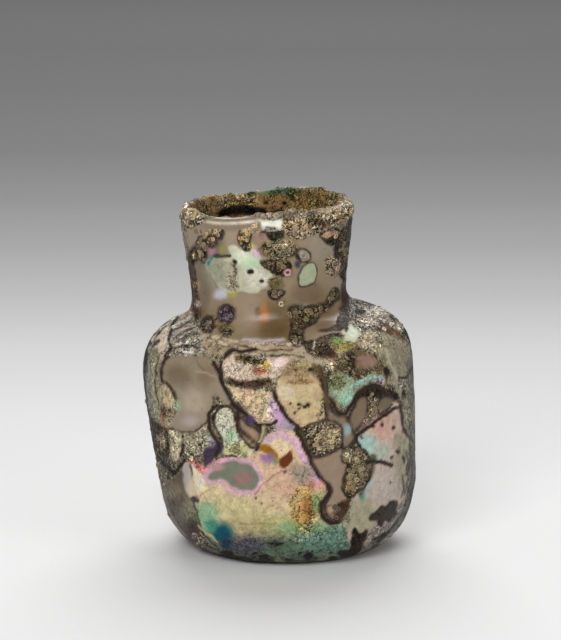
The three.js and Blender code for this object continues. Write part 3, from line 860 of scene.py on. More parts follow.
@dataclass
class PhotoCamera:
    """The camera at the photograph's viewing angle.

    The flask's aim point is seen from an elevation and a distance, and lands on a pixel of the photograph.
    """

    elevation: float = math.radians(12)
    distance: float = 0.8
    aim: Vector = field(default_factory=lambda: Vector((0, 0, 0.037)))
    aim_pixel: Pixel = (279.5, 375)
    pixels_per_metre: float = 4630
    frame_pixels: Pixel = (561, 640)
    sensor: float = 36
    far_clip: float = 20

    @property
    def focal_pixels(self) -> float:
        """Returns the focal length in pixels of the photograph's frame."""
        return self.pixels_per_metre * self.distance

    @property
    def middle(self) -> np.ndarray:
        """Returns the middle pixel of the photograph's frame."""
        return np.asarray(self.frame_pixels) / 2

    @property
    def place(self) -> Vector:
        """Returns where the camera stands."""
        towards = Vector((0, -math.cos(self.elevation), math.sin(self.elevation)))
        return self.aim + self.distance * towards

    def turn(self) -> np.ndarray:
        """Works out how the camera is turned.

        Returns:
            Its right, up and back directions, as rows.
        """
        up = Vector((0, math.sin(self.elevation), math.cos(self.elevation)))
        across, down = np.subtract(self.aim_pixel, self.middle) / self.pixels_per_metre
        looked_at = self.aim + up * down - Vector((1, 0, 0)) * across
        turn = (looked_at - self.place).to_track_quat("-Z", "Y").to_matrix()
        return np.array(turn.transposed())

    def pixels(self, points: np.ndarray) -> np.ndarray:
        """Throws places on to the photograph.

        Args:
            points: places in metres, one per row.

        Returns:
            The pixel that each one is seen at.
        """
        seen = (points - np.array(self.place)) @ self.turn().T
        offset = self.focal_pixels * seen[:, :2] / -seen[:, 2:]
        return self.middle + offset * (1, -1)

    def facing(self, points: np.ndarray, normals: np.ndarray) -> np.ndarray:
        """Tells how squarely the surface faces the camera.

        Args:
            points: places in metres, one per row.
            normals: the surface's directions there.

        Returns:
            One value from -1 to 1 for each place, below 0 where the surface is turned away.
        """
        towards = np.array(self.place) - points
        towards /= np.linalg.norm(towards, axis=1, keepdims=True)
        return (towards * normals).sum(1)

    def build(self) -> None:
        """Adds the camera and makes it the scene's own."""
        data = bpy.data.cameras.new("camera")
        data.sensor_width = self.sensor
        data.lens = self.sensor * self.focal_pixels / max(self.frame_pixels)
        data.clip_end = self.far_clip
        camera = bpy.data.objects.new("camera", data)
        bpy.context.scene.collection.objects.link(camera)
        camera.location = self.place
        camera.rotation_euler = Vector(self.turn()[2]).to_track_quat("Z", "Y").to_euler()
        bpy.context.scene.camera = camera


class NodeSheet:
    """A short way to add shader nodes and join them."""

    def __init__(self, tree: bpy.types.NodeTree) -> None:
        """Starts on an empty node tree."""
        self.tree = tree
        tree.nodes.clear()

    def feed(self, socket: Socket, value: object) -> None:
        """Joins a socket to another one, or gives it a plain value.

        Args:
            socket: the node's input.
            value: the other node's output, or the plain value.
        """
        if isinstance(value, Socket):
            self.tree.links.new(value, socket)
        else:
            socket.default_value = value

    def add(self, kind: str, **values: object) -> bpy.types.Node:
        """Adds a node.

        Args:
            kind: the node's type, without the word ShaderNode that it starts with.
            values: its settings by name, and its sockets by name with _ for a space, or as i and a number.

        Returns:
            The new node.
        """
        node = self.tree.nodes.new("ShaderNode" + kind)
        for key, value in values.items():
            if hasattr(node, key):
                setattr(node, key, value)
            else:
                self.feed(node.inputs[int(key[1:]) if key[1:].isdigit() else key.replace("_", " ")], value)
        return node

    def value(self, operation: str, *inputs: object, clamp: bool = False) -> Socket:
        """Returns the result of a Math node on values or sockets."""
        sockets = {f"i{index}": given for index, given in enumerate(inputs)}
        return self.add("Math", operation=operation, use_clamp=clamp, **sockets).outputs[0]

    def plus(self, first: object, second: object) -> Socket:
        """Returns the sum of two values or sockets."""
        return self.value("ADD", first, second)

    def less(self, first: object, second: object) -> Socket:
        """Returns the first of two values or sockets, less the second."""
        return self.value("SUBTRACT", first, second)

    def times(self, first: object, second: object) -> Socket:
        """Returns the product of two values or sockets."""
        return self.value("MULTIPLY", first, second)

    def scaled(self, value: object, factor: object, start: object) -> Socket:
        """Returns a value times a factor, on top of a start."""
        return self.value("MULTIPLY_ADD", value, factor, start)

    def swing(self, noise: Socket) -> Socket:
        """Returns a noise as a swing to both sides of 0."""
        return self.less(noise, 0.5)

    def step(self, span: Span, value: Socket) -> Socket:
        """Returns an even slope from 0 at the start of a span to 1 at its end."""
        low, high = span
        return self.add(
            "MapRange", interpolation_type="SMOOTHSTEP", Value=value, From_Min=low, From_Max=high
        ).outputs[0]

    def blend(self, share: object, first: object, second: object) -> Socket:
        """Mixes two colours.

        Args:
            share: how much of the second one there is.
            first: the first colour, or its socket.
            second: the second colour, or its socket.

        Returns:
            The mixed colour.
        """
        node = self.add("Mix", data_type="RGBA", blend_type="MIX")
        for number, value in ((0, share), (6, first), (7, second)):
            self.feed(node.inputs[number], value)
        return node.outputs[2]


def shader_colour(colour: Colour) -> tuple[float, ...]:
    """Returns a seen colour as a shader socket takes it."""
    return (*to_linear(colour), 1.0)


@dataclass(frozen=True)
class BurialWearAndPaintedGlints:
    """The mottling, cells, wrinkles and specks that burial leaves on film, glass and bubbles alike.

    A span says where in its noise, or in the crust, a thing starts to show and where it shows fully. The
    white glints on pale crust are painted highlights.
    """

    mottle_scale: float = 620
    grain_scale: float = 2600
    speck_scale: float = 1500
    cell_scale: float = 860
    vein_scale: float = 420
    drift_scale: float = 210
    warp: float = 0.0015
    warmth: tuple[float, float, float] = (1.02, 0.98, 0.92)
    smooth_swing: float = 0.4
    crust_swing: float = 2.1
    crust_span: Span = (0.55, 1.0)
    crust_wander: float = 1.4
    ring_inside: Span = (0.16, 0.28)
    ring_outside: Span = (0.52, 0.38)
    ring_luck: Span = (0.15, 0.45)
    ring_light: float = 0.95
    pit_span: Span = (0.22, 0.08)
    pit_luck: Span = (0.3, 0.7)
    gap_span: Span = (0.16, 0.03)
    gap_depth: float = 0.78
    cell_contrast: float = 1.5
    cell_dark: float = -0.68
    speck_level: float = 0.69
    speck_crust: float = -0.17
    speck_span: Span = (0.0, 0.06)
    speck_depth: float = 0.85
    wrinkle_span: Span = (0.026, 0.006)
    wrinkle_crust: Span = (0.1, 0.6)
    wrinkle_depth: float = 0.55
    dot_span: Span = (0.42, 0.36)
    dot_crust: Span = (0.2, 0.5)
    dot_depth: float = 0.6
    # painted glints: where the crust's white glints show, painted into its colour as highlights
    painted_glint_level: float = 0.575
    painted_glint_span: Span = (0.0, 0.04)
    painted_glint_pale: Span = (0.02, 0.28)
    painted_glint_colour: Colour = (246, 236, 212)
    line_mottle: float = 5.0
    line_drift: float = 7.0
    line_span: Span = (-0.4, 0.5)
    line_cover: float = 0.92
    core_grain: float = 3.0
    core_span: Span = (0.1, 1.3)
    lump_height: float = 1.3
    grain_height: float = 0.3
    speck_height: float = 0.35
    wrinkle_dip: float = 0.8
    line_height: float = 0.3
    mottle_roughness: float = 0.25
    crust_roughness: float = 0.12

    def group(self) -> bpy.types.NodeTree:
        """Builds the shader node group, or returns the one that is built already.

        Returns:
            A group that takes Colour, Crust, Line and Drift, and puts out Colour, Relief and Roughness.
        """
        name = "burial_wear_and_painted_glints"
        if name in bpy.data.node_groups:
            return bpy.data.node_groups[name]
        tree = bpy.data.node_groups.new(name, "ShaderNodeTree")
        sheet = NodeSheet(tree)
        for way, sockets in (("INPUT", ("Crust", "Line", "Drift")), ("OUTPUT", ("Relief", "Roughness"))):
            tree.interface.new_socket("Colour", in_out=way, socket_type="NodeSocketColor")
            for socket in sockets:
                tree.interface.new_socket(socket, in_out=way, socket_type="NodeSocketFloat")
        given = dict(tree.nodes.new("NodeGroupInput").outputs.items())
        crust = given["Crust"]
        noise = self.noises(sheet)
        mask = self.masks(sheet, noise, crust)
        mottled = sheet.times(sheet.swing(noise["mottle"]), self.line_mottle)
        drifted = sheet.times(sheet.swing(noise["drift"]), self.line_drift)
        level = sheet.plus(given["Line"], sheet.plus(mottled, drifted))
        line = sheet.step(self.line_span, level)
        core = sheet.plus(level, sheet.scaled(noise["grain"], self.core_grain, -self.core_grain / 2))
        ink = sheet.blend(sheet.step(self.core_span, core), shader_colour(UMBER), shader_colour(DARK))
        film_colour = self.film_colour(sheet, noise, mask, given)
        crusted = sheet.times(crust, self.crust_roughness)
        rough = sheet.scaled(noise["mottle"], self.mottle_roughness, crusted)
        ends = tree.nodes.new("NodeGroupOutput").inputs
        sheet.feed(ends["Colour"], sheet.blend(sheet.times(line, self.line_cover), film_colour, ink))
        sheet.feed(ends["Relief"], self.relief(sheet, noise, mask, line))
        sheet.feed(ends["Roughness"], rough)
        return tree

    def noises(self, sheet: NodeSheet) -> Sockets:
        """Adds the noises and cells that the wear is made from.

        Args:
            sheet: where they are added.

        Returns:
            Their values by name.
        """
        place = sheet.add("TexCoord").outputs["Object"]
        wander = sheet.add("TexNoise", Vector=place, Scale=self.mottle_scale, Detail=2.0).outputs["Color"]
        bend = (self.warp,) * 3
        warped = sheet.add("VectorMath", operation="MULTIPLY_ADD", i0=wander, i1=bend, i2=place).outputs[0]
        noise = {}
        for key, scale, detail, rough, twist in (
            ("mottle", self.mottle_scale, 3.0, 0.6, 0.0),
            ("grain", self.grain_scale, 2.0, 0.6, 0.0),
            ("specks", self.speck_scale, 3.0, 0.65, 0.9),
            ("veins", self.vein_scale, 4.0, 0.62, 0.0),
            ("drift", self.drift_scale, 2.0, 0.5, 0.0),
        ):
            node = sheet.add(
                "TexNoise", Vector=warped, Scale=scale, Detail=detail, Roughness=rough, Distortion=twist
            )
            noise[key] = node.outputs[0]
        cells = sheet.add("TexVoronoi", Vector=warped, Scale=self.cell_scale).outputs
        edges = sheet.add("TexVoronoi", Vector=warped, Scale=self.cell_scale, feature="DISTANCE_TO_EDGE")
        noise["luck"] = sheet.add("SeparateColor", Color=cells["Color"]).outputs[0]
        noise["middle"] = cells["Distance"]
        noise["border"] = edges.outputs[0]
        return noise

    def masks(self, sheet: NodeSheet, noise: Sockets, crust: Socket) -> Sockets:
        """Works out where crust, rings, gaps, specks, wrinkles and dots show.

        Args:
            sheet: where the nodes are added.
            noise: the noises and cells by name.
            crust: how crusted the surface is.

        Returns:
            The masks by name.
        """
        luck, middle = noise["luck"], noise["middle"]
        wander = sheet.times(sheet.swing(noise["drift"]), self.crust_wander)
        ring = sheet.times(sheet.step(self.ring_inside, middle), sheet.step(self.ring_outside, middle))
        pit = sheet.times(sheet.step(self.pit_span, middle), sheet.step(self.pit_luck, luck))
        threshold = sheet.scaled(crust, self.speck_crust, self.speck_level)
        vein = sheet.value("ABSOLUTE", sheet.swing(noise["veins"]))
        wrinkle = sheet.step(self.wrinkle_span, vein)
        dots = sheet.step(self.dot_span, noise["grain"])
        return {
            "crusty": sheet.step(self.crust_span, sheet.plus(crust, wander)),
            "ring": sheet.times(ring, sheet.step(self.ring_luck, luck)),
            "gap": sheet.value("MAXIMUM", sheet.step(self.gap_span, noise["border"]), pit),
            "specks": sheet.step(self.speck_span, sheet.less(noise["specks"], threshold)),
            "wrinkle": sheet.times(wrinkle, sheet.step(self.wrinkle_crust, crust)),
            "dots": sheet.times(dots, sheet.step(self.dot_crust, crust)),
        }

    def film_colour(self, sheet: NodeSheet, noise: Sockets, mask: Sockets, given: Sockets) -> Socket:
        """Shades the given colour with all of the wear but the dark lines, and adds the painted glints.

        Args:
            sheet: where the nodes are added.
            noise: the noises and cells by name.
            mask: where the wear shows.
            given: what the group takes.

        Returns:
            The shaded colour.
        """
        crusty = mask["crusty"]
        drifted = sheet.times(sheet.swing(noise["drift"]), given["Drift"])
        hue = sheet.add("HueSaturation", Hue=sheet.plus(drifted, 0.5), Color=given["Colour"]).outputs[0]
        cell = sheet.times(crusty, sheet.scaled(noise["luck"], self.cell_contrast, self.cell_dark))
        light = sheet.plus(cell, sheet.times(mask["ring"], sheet.times(crusty, self.ring_light)))
        light = sheet.plus(1.0, light)
        for shade, depth in (
            (sheet.times(mask["gap"], crusty), self.gap_depth),
            (mask["specks"], self.speck_depth),
            (mask["wrinkle"], self.wrinkle_depth),
            (mask["dots"], self.dot_depth),
        ):
            light = sheet.times(light, sheet.scaled(shade, -depth, 1.0))
        swing = sheet.scaled(given["Crust"], self.crust_swing, self.smooth_swing)
        light = sheet.times(light, sheet.scaled(sheet.swing(noise["mottle"]), swing, 1.0))
        warm = sheet.add("VectorMath", operation="MULTIPLY", i0=hue, i1=self.warmth).outputs[0]
        lit = sheet.add("VectorMath", operation="SCALE", i0=warm, Scale=light).outputs[0]
        # painted glints: near-white specks where the grain peaks on pale crust, standing in for highlights
        painted_glint = sheet.step(self.painted_glint_span, sheet.less(noise["grain"], self.painted_glint_level))
        pale = sheet.step(self.painted_glint_pale, sheet.add("RGBToBW", Color=given["Colour"]).outputs[0])
        painted_glint = sheet.times(painted_glint, sheet.times(crusty, pale))
        return sheet.blend(painted_glint, lit, shader_colour(self.painted_glint_colour))

    def relief(self, sheet: NodeSheet, noise: Sockets, mask: Sockets, line: Socket) -> Socket:
        """Works out the fine relief for the Bump node.

        Args:
            sheet: where the nodes are added.
            noise: the noises and cells by name.
            mask: where the wear shows.
            line: where the dark lines show.

        Returns:
            The height, as a share of the material's relief.
        """
        rings = sheet.times(mask["ring"], self.lump_height)
        lumps = sheet.less(sheet.plus(rings, noise["specks"]), mask["gap"])
        lumps = sheet.times(lumps, sheet.times(mask["crusty"], self.lump_height))
        specks = sheet.times(noise["specks"], self.speck_height)
        fine = sheet.scaled(noise["grain"], self.grain_height, specks)
        relief = sheet.less(sheet.plus(fine, lumps), sheet.times(mask["wrinkle"], self.wrinkle_dip))
        return sheet.plus(relief, sheet.times(line, self.line_height))


@dataclass(frozen=True)
class Finish:
    """One finish of the flask: the burial wear and painted glints over a shader with plain values of its
    own.
    """

    name: str
    roughness: float
    transmission: float = 0.0
    relief: float = 0.00018
    drift: float = 0.1
    specular: float = 0.5
    wear: BurialWearAndPaintedGlints = BurialWearAndPaintedGlints()

    def material(self) -> bpy.types.Material:
        """Builds the material, which reads the mesh's tint, crust and line.

        Returns:
            The material, to be appended to a mesh.
        """
        material = bpy.data.materials.new(self.name)
        material.use_nodes = True
        sheet = NodeSheet(material.node_tree)
        worn = sheet.add(
            "Group",
            node_tree=self.wear.group(),
            Colour=sheet.add("Attribute", attribute_name="tint").outputs["Color"],
            Crust=sheet.add("Attribute", attribute_name="crust").outputs["Fac"],
            Line=sheet.add("Attribute", attribute_name="line").outputs["Fac"],
            Drift=self.drift,
        ).outputs
        bump = sheet.add("Bump", Height=worn["Relief"], Distance=self.relief, Strength=1.0)
        shader = sheet.add(
            "BsdfPrincipled",
            Base_Color=worn["Colour"],
            Roughness=sheet.value("ADD", worn["Roughness"], self.roughness, clamp=True),
            Metallic=0.0,
            Transmission_Weight=self.transmission,
            IOR=1.5,
            Specular_IOR_Level=self.specular,
            Normal=bump.outputs[0],
        )
        sheet.add("OutputMaterial", Surface=shader.outputs[0])
        return material


FILM_FINISH = Finish("weathering_film", roughness=0.24, drift=0.09, specular=0.1)
GLASS_FINISH = Finish("hazy_glass", roughness=0.2, specular=0.4, transmission=0.3, relief=2e-5, drift=0.04)
BUBBLE_FINISH = Finish("burst_bubble_glass", roughness=0.22, relief=0.00006, drift=0.06)
INNER_FINISH = Finish("inner_haze", roughness=0.4, transmission=0.3, relief=0.00005, drift=0.05)


@dataclass
class Surface:
    """What the weathering comes to at every vertex: colour, crust, dark line, relief and window."""

    colour: np.ndarray
    crust: np.ndarray
    line: np.ndarray
    height: np.ndarray
    window: np.ndarray

    def colour_in(self, index: np.ndarray, colour: Colour, cover: np.ndarray) -> None:
        """Mixes a colour into the surface at some vertices."""
        self.colour[index] += (np.array(colour, float) - self.colour[index]) * cover[:, None]


@dataclass
class WeatheringAndPaintedLight:
    """Lays the marks on the glass, and marks of the same kind where the photograph doesn't reach.

    Levels and depths of windows and lines are in pixels, heights of relief in millimetres, sizes in metres.
    A few marks on the front are painted highlights, reflections and edge shade.
    """

    camera: PhotoCamera
    marks: Marks = MARKS
    wander: float = 1.1
    front_from: float = -0.08
    front_full: float = 0.04
    front_swell: Swell = Swell(0.005, 26, 0.12)
    drift_swells: tuple[tuple[Swell, ...], ...] = (
        (Swell(0.0016, 31), Swell(0.0007, 36, 0.6)),
        (Swell(0.0016, 32), Swell(0.0007, 37, 0.6)),
    )
    film_height: float = 0.12
    covered: float = -4.0
    gold_from: float = 0.042
    gold_full: float = 0.058
    gold_crust: float = 0.85
    gold_light: float = 0.8
    gold_swell: Swell = Swell(0.003, 52, 0.25)
    haze_swell: Swell = Swell(0.006, 51, 14)
    margin: float = 6.0
    fringe_cover: float = 0.85
    rim_cover: float = 0.8
    rim_span: Span = (-1.2, 0.6)
    ridge_span: Span = (-0.6, 0.8)
    rim_ridge: float = 0.08
    hidden_palette: tuple[Colour, ...] = (
        (128, 116, 92), (170, 156, 128), (150, 142, 138), (112, 98, 76), (142, 150, 132), (160, 148, 118),
    )
    hidden_swirl: float = 0.0025
    swirl_swells: tuple[Swell, ...] = (Swell(0.005, 11), Swell(0.005, 12), Swell(0.005, 13))
    patch_swells: tuple[Swell, ...] = (Swell(0.011, 21), Swell(0.0045, 22, 0.35))
    hue_swells: tuple[Swell, ...] = (Swell(0.016, 23), Swell(0.006, 24, 0.5))
    hue_span: Span = (0.25, 0.75)
    crust_swell: Swell = Swell(0.008, 25, 0.9)
    hidden_crust: float = 0.45
    crust_height: float = 0.16
    hidden_window: float = 0.42
    hidden_steepness: float = 30.0
    hidden_seam: float = -0.15
    seam_steepness: float = 26.0
    seam_width: float = 1.3

    def hidden(self, points: np.ndarray) -> Surface:
        """Makes up the weathering of the sides that the photograph doesn't show.

        Args:
            points: places in metres, one per row.

        Returns:
            The weathering at each place.
        """
        bends = np.stack([swell.at(points) for swell in self.swirl_swells], axis=1)
        swirl = points + self.hidden_swirl * bends
        level = sum_at(self.patch_swells, swirl)
        hues = sum_at(self.hue_swells, swirl)
        palette = np.array(self.hidden_palette, float)
        share = np.clip((hues + 1) / 2, 0, 0.999) * (len(palette) - 1)
        first = share.astype(int)
        part = smoothstep(*self.hue_span, share - first)[:, None]
        colour = palette[first] * (1 - part) + palette[first + 1] * part
        window_depth = (level - self.hidden_window) * self.hidden_steepness
        bare = smoothstep(-1, 1, window_depth)
        colour = colour * (1 - bare[:, None]) + np.array(WINDOW, float) * bare[:, None]
        crust = np.clip(self.hidden_crust + self.crust_swell.at(swirl), 0, 1) * (1 - bare)
        edge = np.minimum(np.abs(window_depth), self.seam_steepness * np.abs(level - self.hidden_seam))
        height = (self.film_height + self.crust_height * crust) * (1 - bare)
        return Surface(colour, crust, self.seam_width - edge, height, window_depth)

    def line_inside(self, surface: Surface, points: np.ndarray, inside: np.ndarray) -> None:
        """Colours the inner face: golden crust in the neck, a brown haze below it.

        Args:
            surface: what is coloured.
            points: places in metres, one per row.
            inside: whether a place is on the inner face.
        """
        gold = smoothstep(self.gold_from, self.gold_full, points[:, 2])[:, None]
        haze = np.array(HAZE, float) + self.haze_swell.at(points)[:, None]
        crusted = np.array(GOLD, float) * (self.gold_light + self.gold_swell.at(points)[:, None])
        surface.colour[inside] = (haze * (1 - gold) + crusted * gold)[inside]
        surface.crust[inside] = self.gold_crust * gold[inside, 0]
        surface.height[inside] = self.film_height * gold[inside, 0]

    def lay(
        self, mark: Mark, surface: Surface, chosen: np.ndarray, pixels: np.ndarray, front: np.ndarray
    ) -> None:
        """Adds one mark to the surface.

        Args:
            mark: the mark.
            surface: what it is added to.
            chosen: the vertices that it may reach.
            pixels: where every vertex is seen.
            front: how fully each vertex belongs to the photograph's side.
        """
        low, high = mark.reach()
        margin = self.margin + mark.soft + mark.fringe + mark.rim
        near = chosen & (pixels > low - margin).all(1) & (pixels < high + margin).all(1)
        index = np.flatnonzero(near)
        if not len(index):
            return
        depth = mark.depth(pixels[index])
        shown = front[index]
        if mark.fringe:
            halo = smoothstep(-mark.fringe, -0.2 * mark.fringe, depth) * shown
            surface.colour_in(index, mark.fringe_colour, halo * self.fringe_cover)
        cover = smoothstep(-mark.soft, mark.soft, depth) * shown
        surface.colour_in(index, mark.colour, cover)
        if mark.crust is not None:
            surface.crust[index] += (mark.crust - surface.crust[index]) * cover
        if mark.ground is not Ground.TINT:
            surface.height[index] += (mark.height - surface.height[index]) * cover
            line = surface.line[index]
            faded = np.where(depth > 0, np.minimum(line, mark.rim / 2 - depth), line)
            surface.line[index] += (faded - line) * shown
            bare = surface.window[index]
            wanted = np.maximum(bare, depth) if mark.ground is Ground.WINDOW else np.minimum(bare, -depth)
            surface.window[index] += (wanted - bare) * shown
        if mark.rim:
            rim = mark.rim / 2 - np.abs(depth)
            surface.colour_in(index, DARK, smoothstep(*self.rim_span, rim) * shown * self.rim_cover)
            line = surface.line[index]
            surface.line[index] += (np.maximum(line, rim) - line) * shown
            ridge = smoothstep(*self.ridge_span, rim) * self.rim_ridge * shown
            surface.height[index] += ridge * (surface.window[index] < 0)

    def at(self, points: np.ndarray, normals: np.ndarray, inside: np.ndarray) -> Surface:
        """Works out the weathering of every vertex.

        Args:
            points: places in metres.
            normals: the surface's directions there.
            inside: whether a place is on the inner face of the wall.

        Returns:
            The weathering, in seen colours, pixels of line and window, and millimetres of height.
        """
        surface = self.hidden(points)
        self.line_inside(surface, points, inside)
        facing = self.camera.facing(points, normals) + self.front_swell.at(points)
        front = smoothstep(self.front_from, self.front_full, facing)
        drift = [sum_at(swells, points) for swells in self.drift_swells]
        pixels = self.camera.pixels(points) + self.wander * np.stack(drift, axis=1)
        shown = (front > 0) & ~inside
        for values, start in (
            (surface.window, self.covered),
            (surface.line, self.covered),
            (surface.height, self.film_height),
        ):
            values[shown] += (start - values[shown]) * front[shown]
        for mark in self.marks:
            chosen = inside if mark.side is Side.INSIDE else ~inside
            self.lay(mark, surface, chosen & (front > 0), pixels, front)
        surface.window[inside] = self.covered
        surface.line[inside] = self.covered
        return surface


@dataclass
class WeatheredFlask:
    """The glass vessel with its weathered skin, shaped from the solid's own mesh."""

    solid: bpy.types.Object
    camera: PhotoCamera
    weathering: WeatheringAndPaintedLight
    name: str = "weathered_flask"
    quad_angle: float = math.radians(70)
    long_edge: float = 2.1 * MM
    fine_from: float = 0.05
    front_cuts: int = 3
    back_cuts: int = 1
    least_area: float = 0.8 * MM**2
    standing: float = 1.5 * MM
    lip_depth: float = 5.0 * MM
    crust_relief: float = 0.30
    lip_relief: float = 0.55
    rough_swells: tuple[Swell, ...] = (Swell(0.0009, 41), Swell(0.0005, 42, 0.6))
    lump_swell: Swell = Swell(0.0022, 43)
    least_rise: float = 0.02
    lip_sink: float = 0.4
    foot_span: Span = (0.2 * MM, 2.0 * MM)
    axis_foot: float = 2.3 * MM
    axis_lean: float = 5.3 * MM
    deep_share: float = 0.72
    vessel: bpy.types.Object = field(init=False)
    snapped: np.ndarray = field(init=False)

    def build(self) -> bpy.types.Object:
        """Makes the finished piece and returns it."""
        self.copy_solid()
        self.split_long_edges()
        self.refine(lambda facing: facing > self.fine_from, self.front_cuts)
        self.refine(lambda facing: facing <= self.fine_from, self.back_cuts)
        self.relax()
        self.settle_windows()
        self.weather()
        return self.vessel

    def edit(self) -> None:
        """Opens the vessel's mesh for operators, with no other object selected."""
        bpy.ops.object.select_all(action="DESELECT")
        bpy.context.view_layer.objects.active = self.vessel
        self.vessel.select_set(True)
        bpy.ops.object.mode_set(mode="EDIT")

    def copy_solid(self) -> None:
        """Copies the solid's mesh, joins its loose triangles and rounds it by one level of subdivision."""
        self.vessel = bpy.data.objects.new(self.name, self.solid.data.copy())
        self.vessel.data.name = self.name
        self.vessel.data.materials.clear()
        bpy.context.scene.collection.objects.link(self.vessel)
        self.edit()
        bpy.ops.mesh.select_all(action="SELECT")
        bpy.ops.mesh.customdata_custom_splitnormals_clear()
        bpy.ops.mesh.remove_doubles(threshold=MM / 1000)
        bpy.ops.mesh.tris_convert_to_quads(face_threshold=self.quad_angle, shape_threshold=self.quad_angle)
        bpy.ops.object.mode_set(mode="OBJECT")
        rounding = self.vessel.modifiers.new("rounding", "SUBSURF")
        rounding.levels = rounding.render_levels = 1
        bpy.ops.object.modifier_apply(modifier=rounding.name)

    def select(self, mode: str, wanted: np.ndarray) -> None:
        """Selects some vertices, edges or faces, and opens the mesh in the mode that keeps them so.

        Args:
            mode: VERT, EDGE or FACE, for what is selected.
            wanted: whether each of them is.
        """
        mesh = self.vessel.data
        modes = ("VERT", "EDGE", "FACE")
        for kind, elements in zip(modes, (mesh.vertices, mesh.edges, mesh.polygons)):
            elements.foreach_set("select", wanted if kind == mode else np.zeros(len(elements), bool))
        bpy.context.tool_settings.mesh_select_mode = tuple(kind == mode for kind in modes)
        self.edit()

    def is_inner(self, places: np.ndarray, normals: np.ndarray) -> np.ndarray:
        """Tells which places are on the inner face of the wall, or on the floor inside.

        Args:
            places: places in metres, one per row.
            normals: the surface's directions there.

        Returns:
            Whether each place is.
        """
        low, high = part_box("flask")
        share = np.clip(places[:, 2] / (high.z - low.z), 0, 1)
        axis = np.stack([self.axis_foot - self.axis_lean * share, np.zeros_like(share)], axis=1)
        outward = ((places[:, :2] - axis) * normals[:, :2]).sum(1)
        underside = (normals[:, 2] < -0.5) & (places[:, 2] < 2 * MM)
        return (outward < 0) & ~underside

    def split_long_edges(self) -> None:
        """Cuts the tall faces of the side in two, so that faces are about as tall as they are wide."""
        places, normals = places_and_normals(self.vessel.data)
        ends = read(self.vessel.data.edges, "vertices", 2, int)
        along = places[ends[:, 0]] - places[ends[:, 1]]
        upright = np.abs(along[:, 2]) > self.long_edge
        outer = ~self.is_inner(places, normals)[ends].any(1)
        self.select("EDGE", upright & outer)
        bpy.ops.mesh.subdivide(number_cuts=1)
        bpy.ops.object.mode_set(mode="OBJECT")

    def refine(self, wanted: Callable[[np.ndarray], np.ndarray], cuts: int) -> None:
        """Cuts some of the outer faces into smaller ones, for the film's fine edges.

        Args:
            wanted: tells which faces are cut, from how squarely they face the camera.
            cuts: cuts across each of them.
        """
        faces = self.vessel.data.polygons
        centres, normals = read(faces, "center", 3), read(faces, "normal", 3)
        near_lip = centres[:, 2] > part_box("flask")[1].z - 3 * self.lip_depth
        kept = (~self.is_inner(centres, normals) | near_lip) & (read(faces, "area") > self.least_area)
        self.select("FACE", kept & wanted(self.camera.facing(centres, normals)))
        bpy.ops.mesh.subdivide(number_cuts=cuts)
        bpy.ops.object.mode_set(mode="OBJECT")

    def relax(self) -> None:
        """Evens out the small flats that the cuts left, and turns the mesh into triangles."""
        places, _ = places_and_normals(self.vessel.data)
        self.select("VERT", places[:, 2] > self.standing)
        bpy.ops.mesh.vertices_smooth(factor=0.5, repeat=6)
        bpy.ops.mesh.select_all(action="SELECT")
        bpy.ops.mesh.quads_convert_to_tris(quad_method="BEAUTY", ngon_method="BEAUTY")
        bpy.ops.mesh.normals_make_consistent(inside=False)
        bpy.ops.object.mode_set(mode="OBJECT")

    def settle_windows(self) -> None:
        """Moves vertices on to the windows' outlines, so that film and glass meet along a clean edge."""
        mesh = self.vessel.data
        places, normals = places_and_normals(mesh)
        depth = self.weathering.at(places, normals, self.is_inner(places, normals)).window
        ends = read(mesh.edges, "vertices", 2, int)
        ends = ends[depth[ends[:, 0]] * depth[ends[:, 1]] < 0]
        first, second = depth[ends[:, 0]], depth[ends[:, 1]]
        share = first / (first - second)
        mover = np.where(share < 0.5, ends[:, 0], ends[:, 1])
        cut = places[ends[:, 0]] + share[:, None] * (places[ends[:, 1]] - places[ends[:, 0]])
        step = np.linalg.norm(cut - places[mover], axis=1)
        for row in np.argsort(-step):
            places[mover[row]] = cut[row]
        mesh.vertices.foreach_set("co", places.ravel())
        mesh.update()
        self.snapped = np.zeros(len(places), bool)
        self.snapped[mover] = True

    def rise(self, places: np.ndarray, surface: Surface) -> np.ndarray:
        """Works out the relief of film and crust.

        Args:
            places: places in metres, one per row.
            surface: the weathering there.

        Returns:
            How far each place rises, in metres.
        """
        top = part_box("flask")[1].z
        rough = sum_at(self.rough_swells, places)
        lumps = self.lump_swell.at(places)
        near_lip = smoothstep(top - self.lip_depth, top - 0.3 * self.lip_depth, places[:, 2])
        height = surface.height + self.crust_relief * surface.crust**1.5 * (0.5 * rough + 0.3 * lumps)
        height += self.lip_relief * near_lip * surface.crust * (0.6 * rough + 0.7 * lumps)
        off_floor = smoothstep(*self.foot_span, places[:, 2])
        bare = (surface.window > 0) | self.snapped
        least = self.least_rise - self.lip_sink * near_lip
        return np.where(bare, 0, np.maximum(height, least)) * off_floor * MM

    def weather(self) -> None:
        """Raises the film and crust, and stores their colours and finishes on the mesh."""
        mesh = self.vessel.data
        places, normals = places_and_normals(mesh)
        inner = self.is_inner(places, normals)
        surface = self.weathering.at(places, normals, inner)
        places += normals * self.rise(places, surface)[:, None]
        mesh.vertices.foreach_set("co", places.ravel())
        store(mesh, "tint", surface.colour)
        store(mesh, "crust", surface.crust)
        store(mesh, "line", surface.line)
        self.part_finishes(surface, inner, places)
        mesh.update()
        bpy.ops.object.shade_smooth()

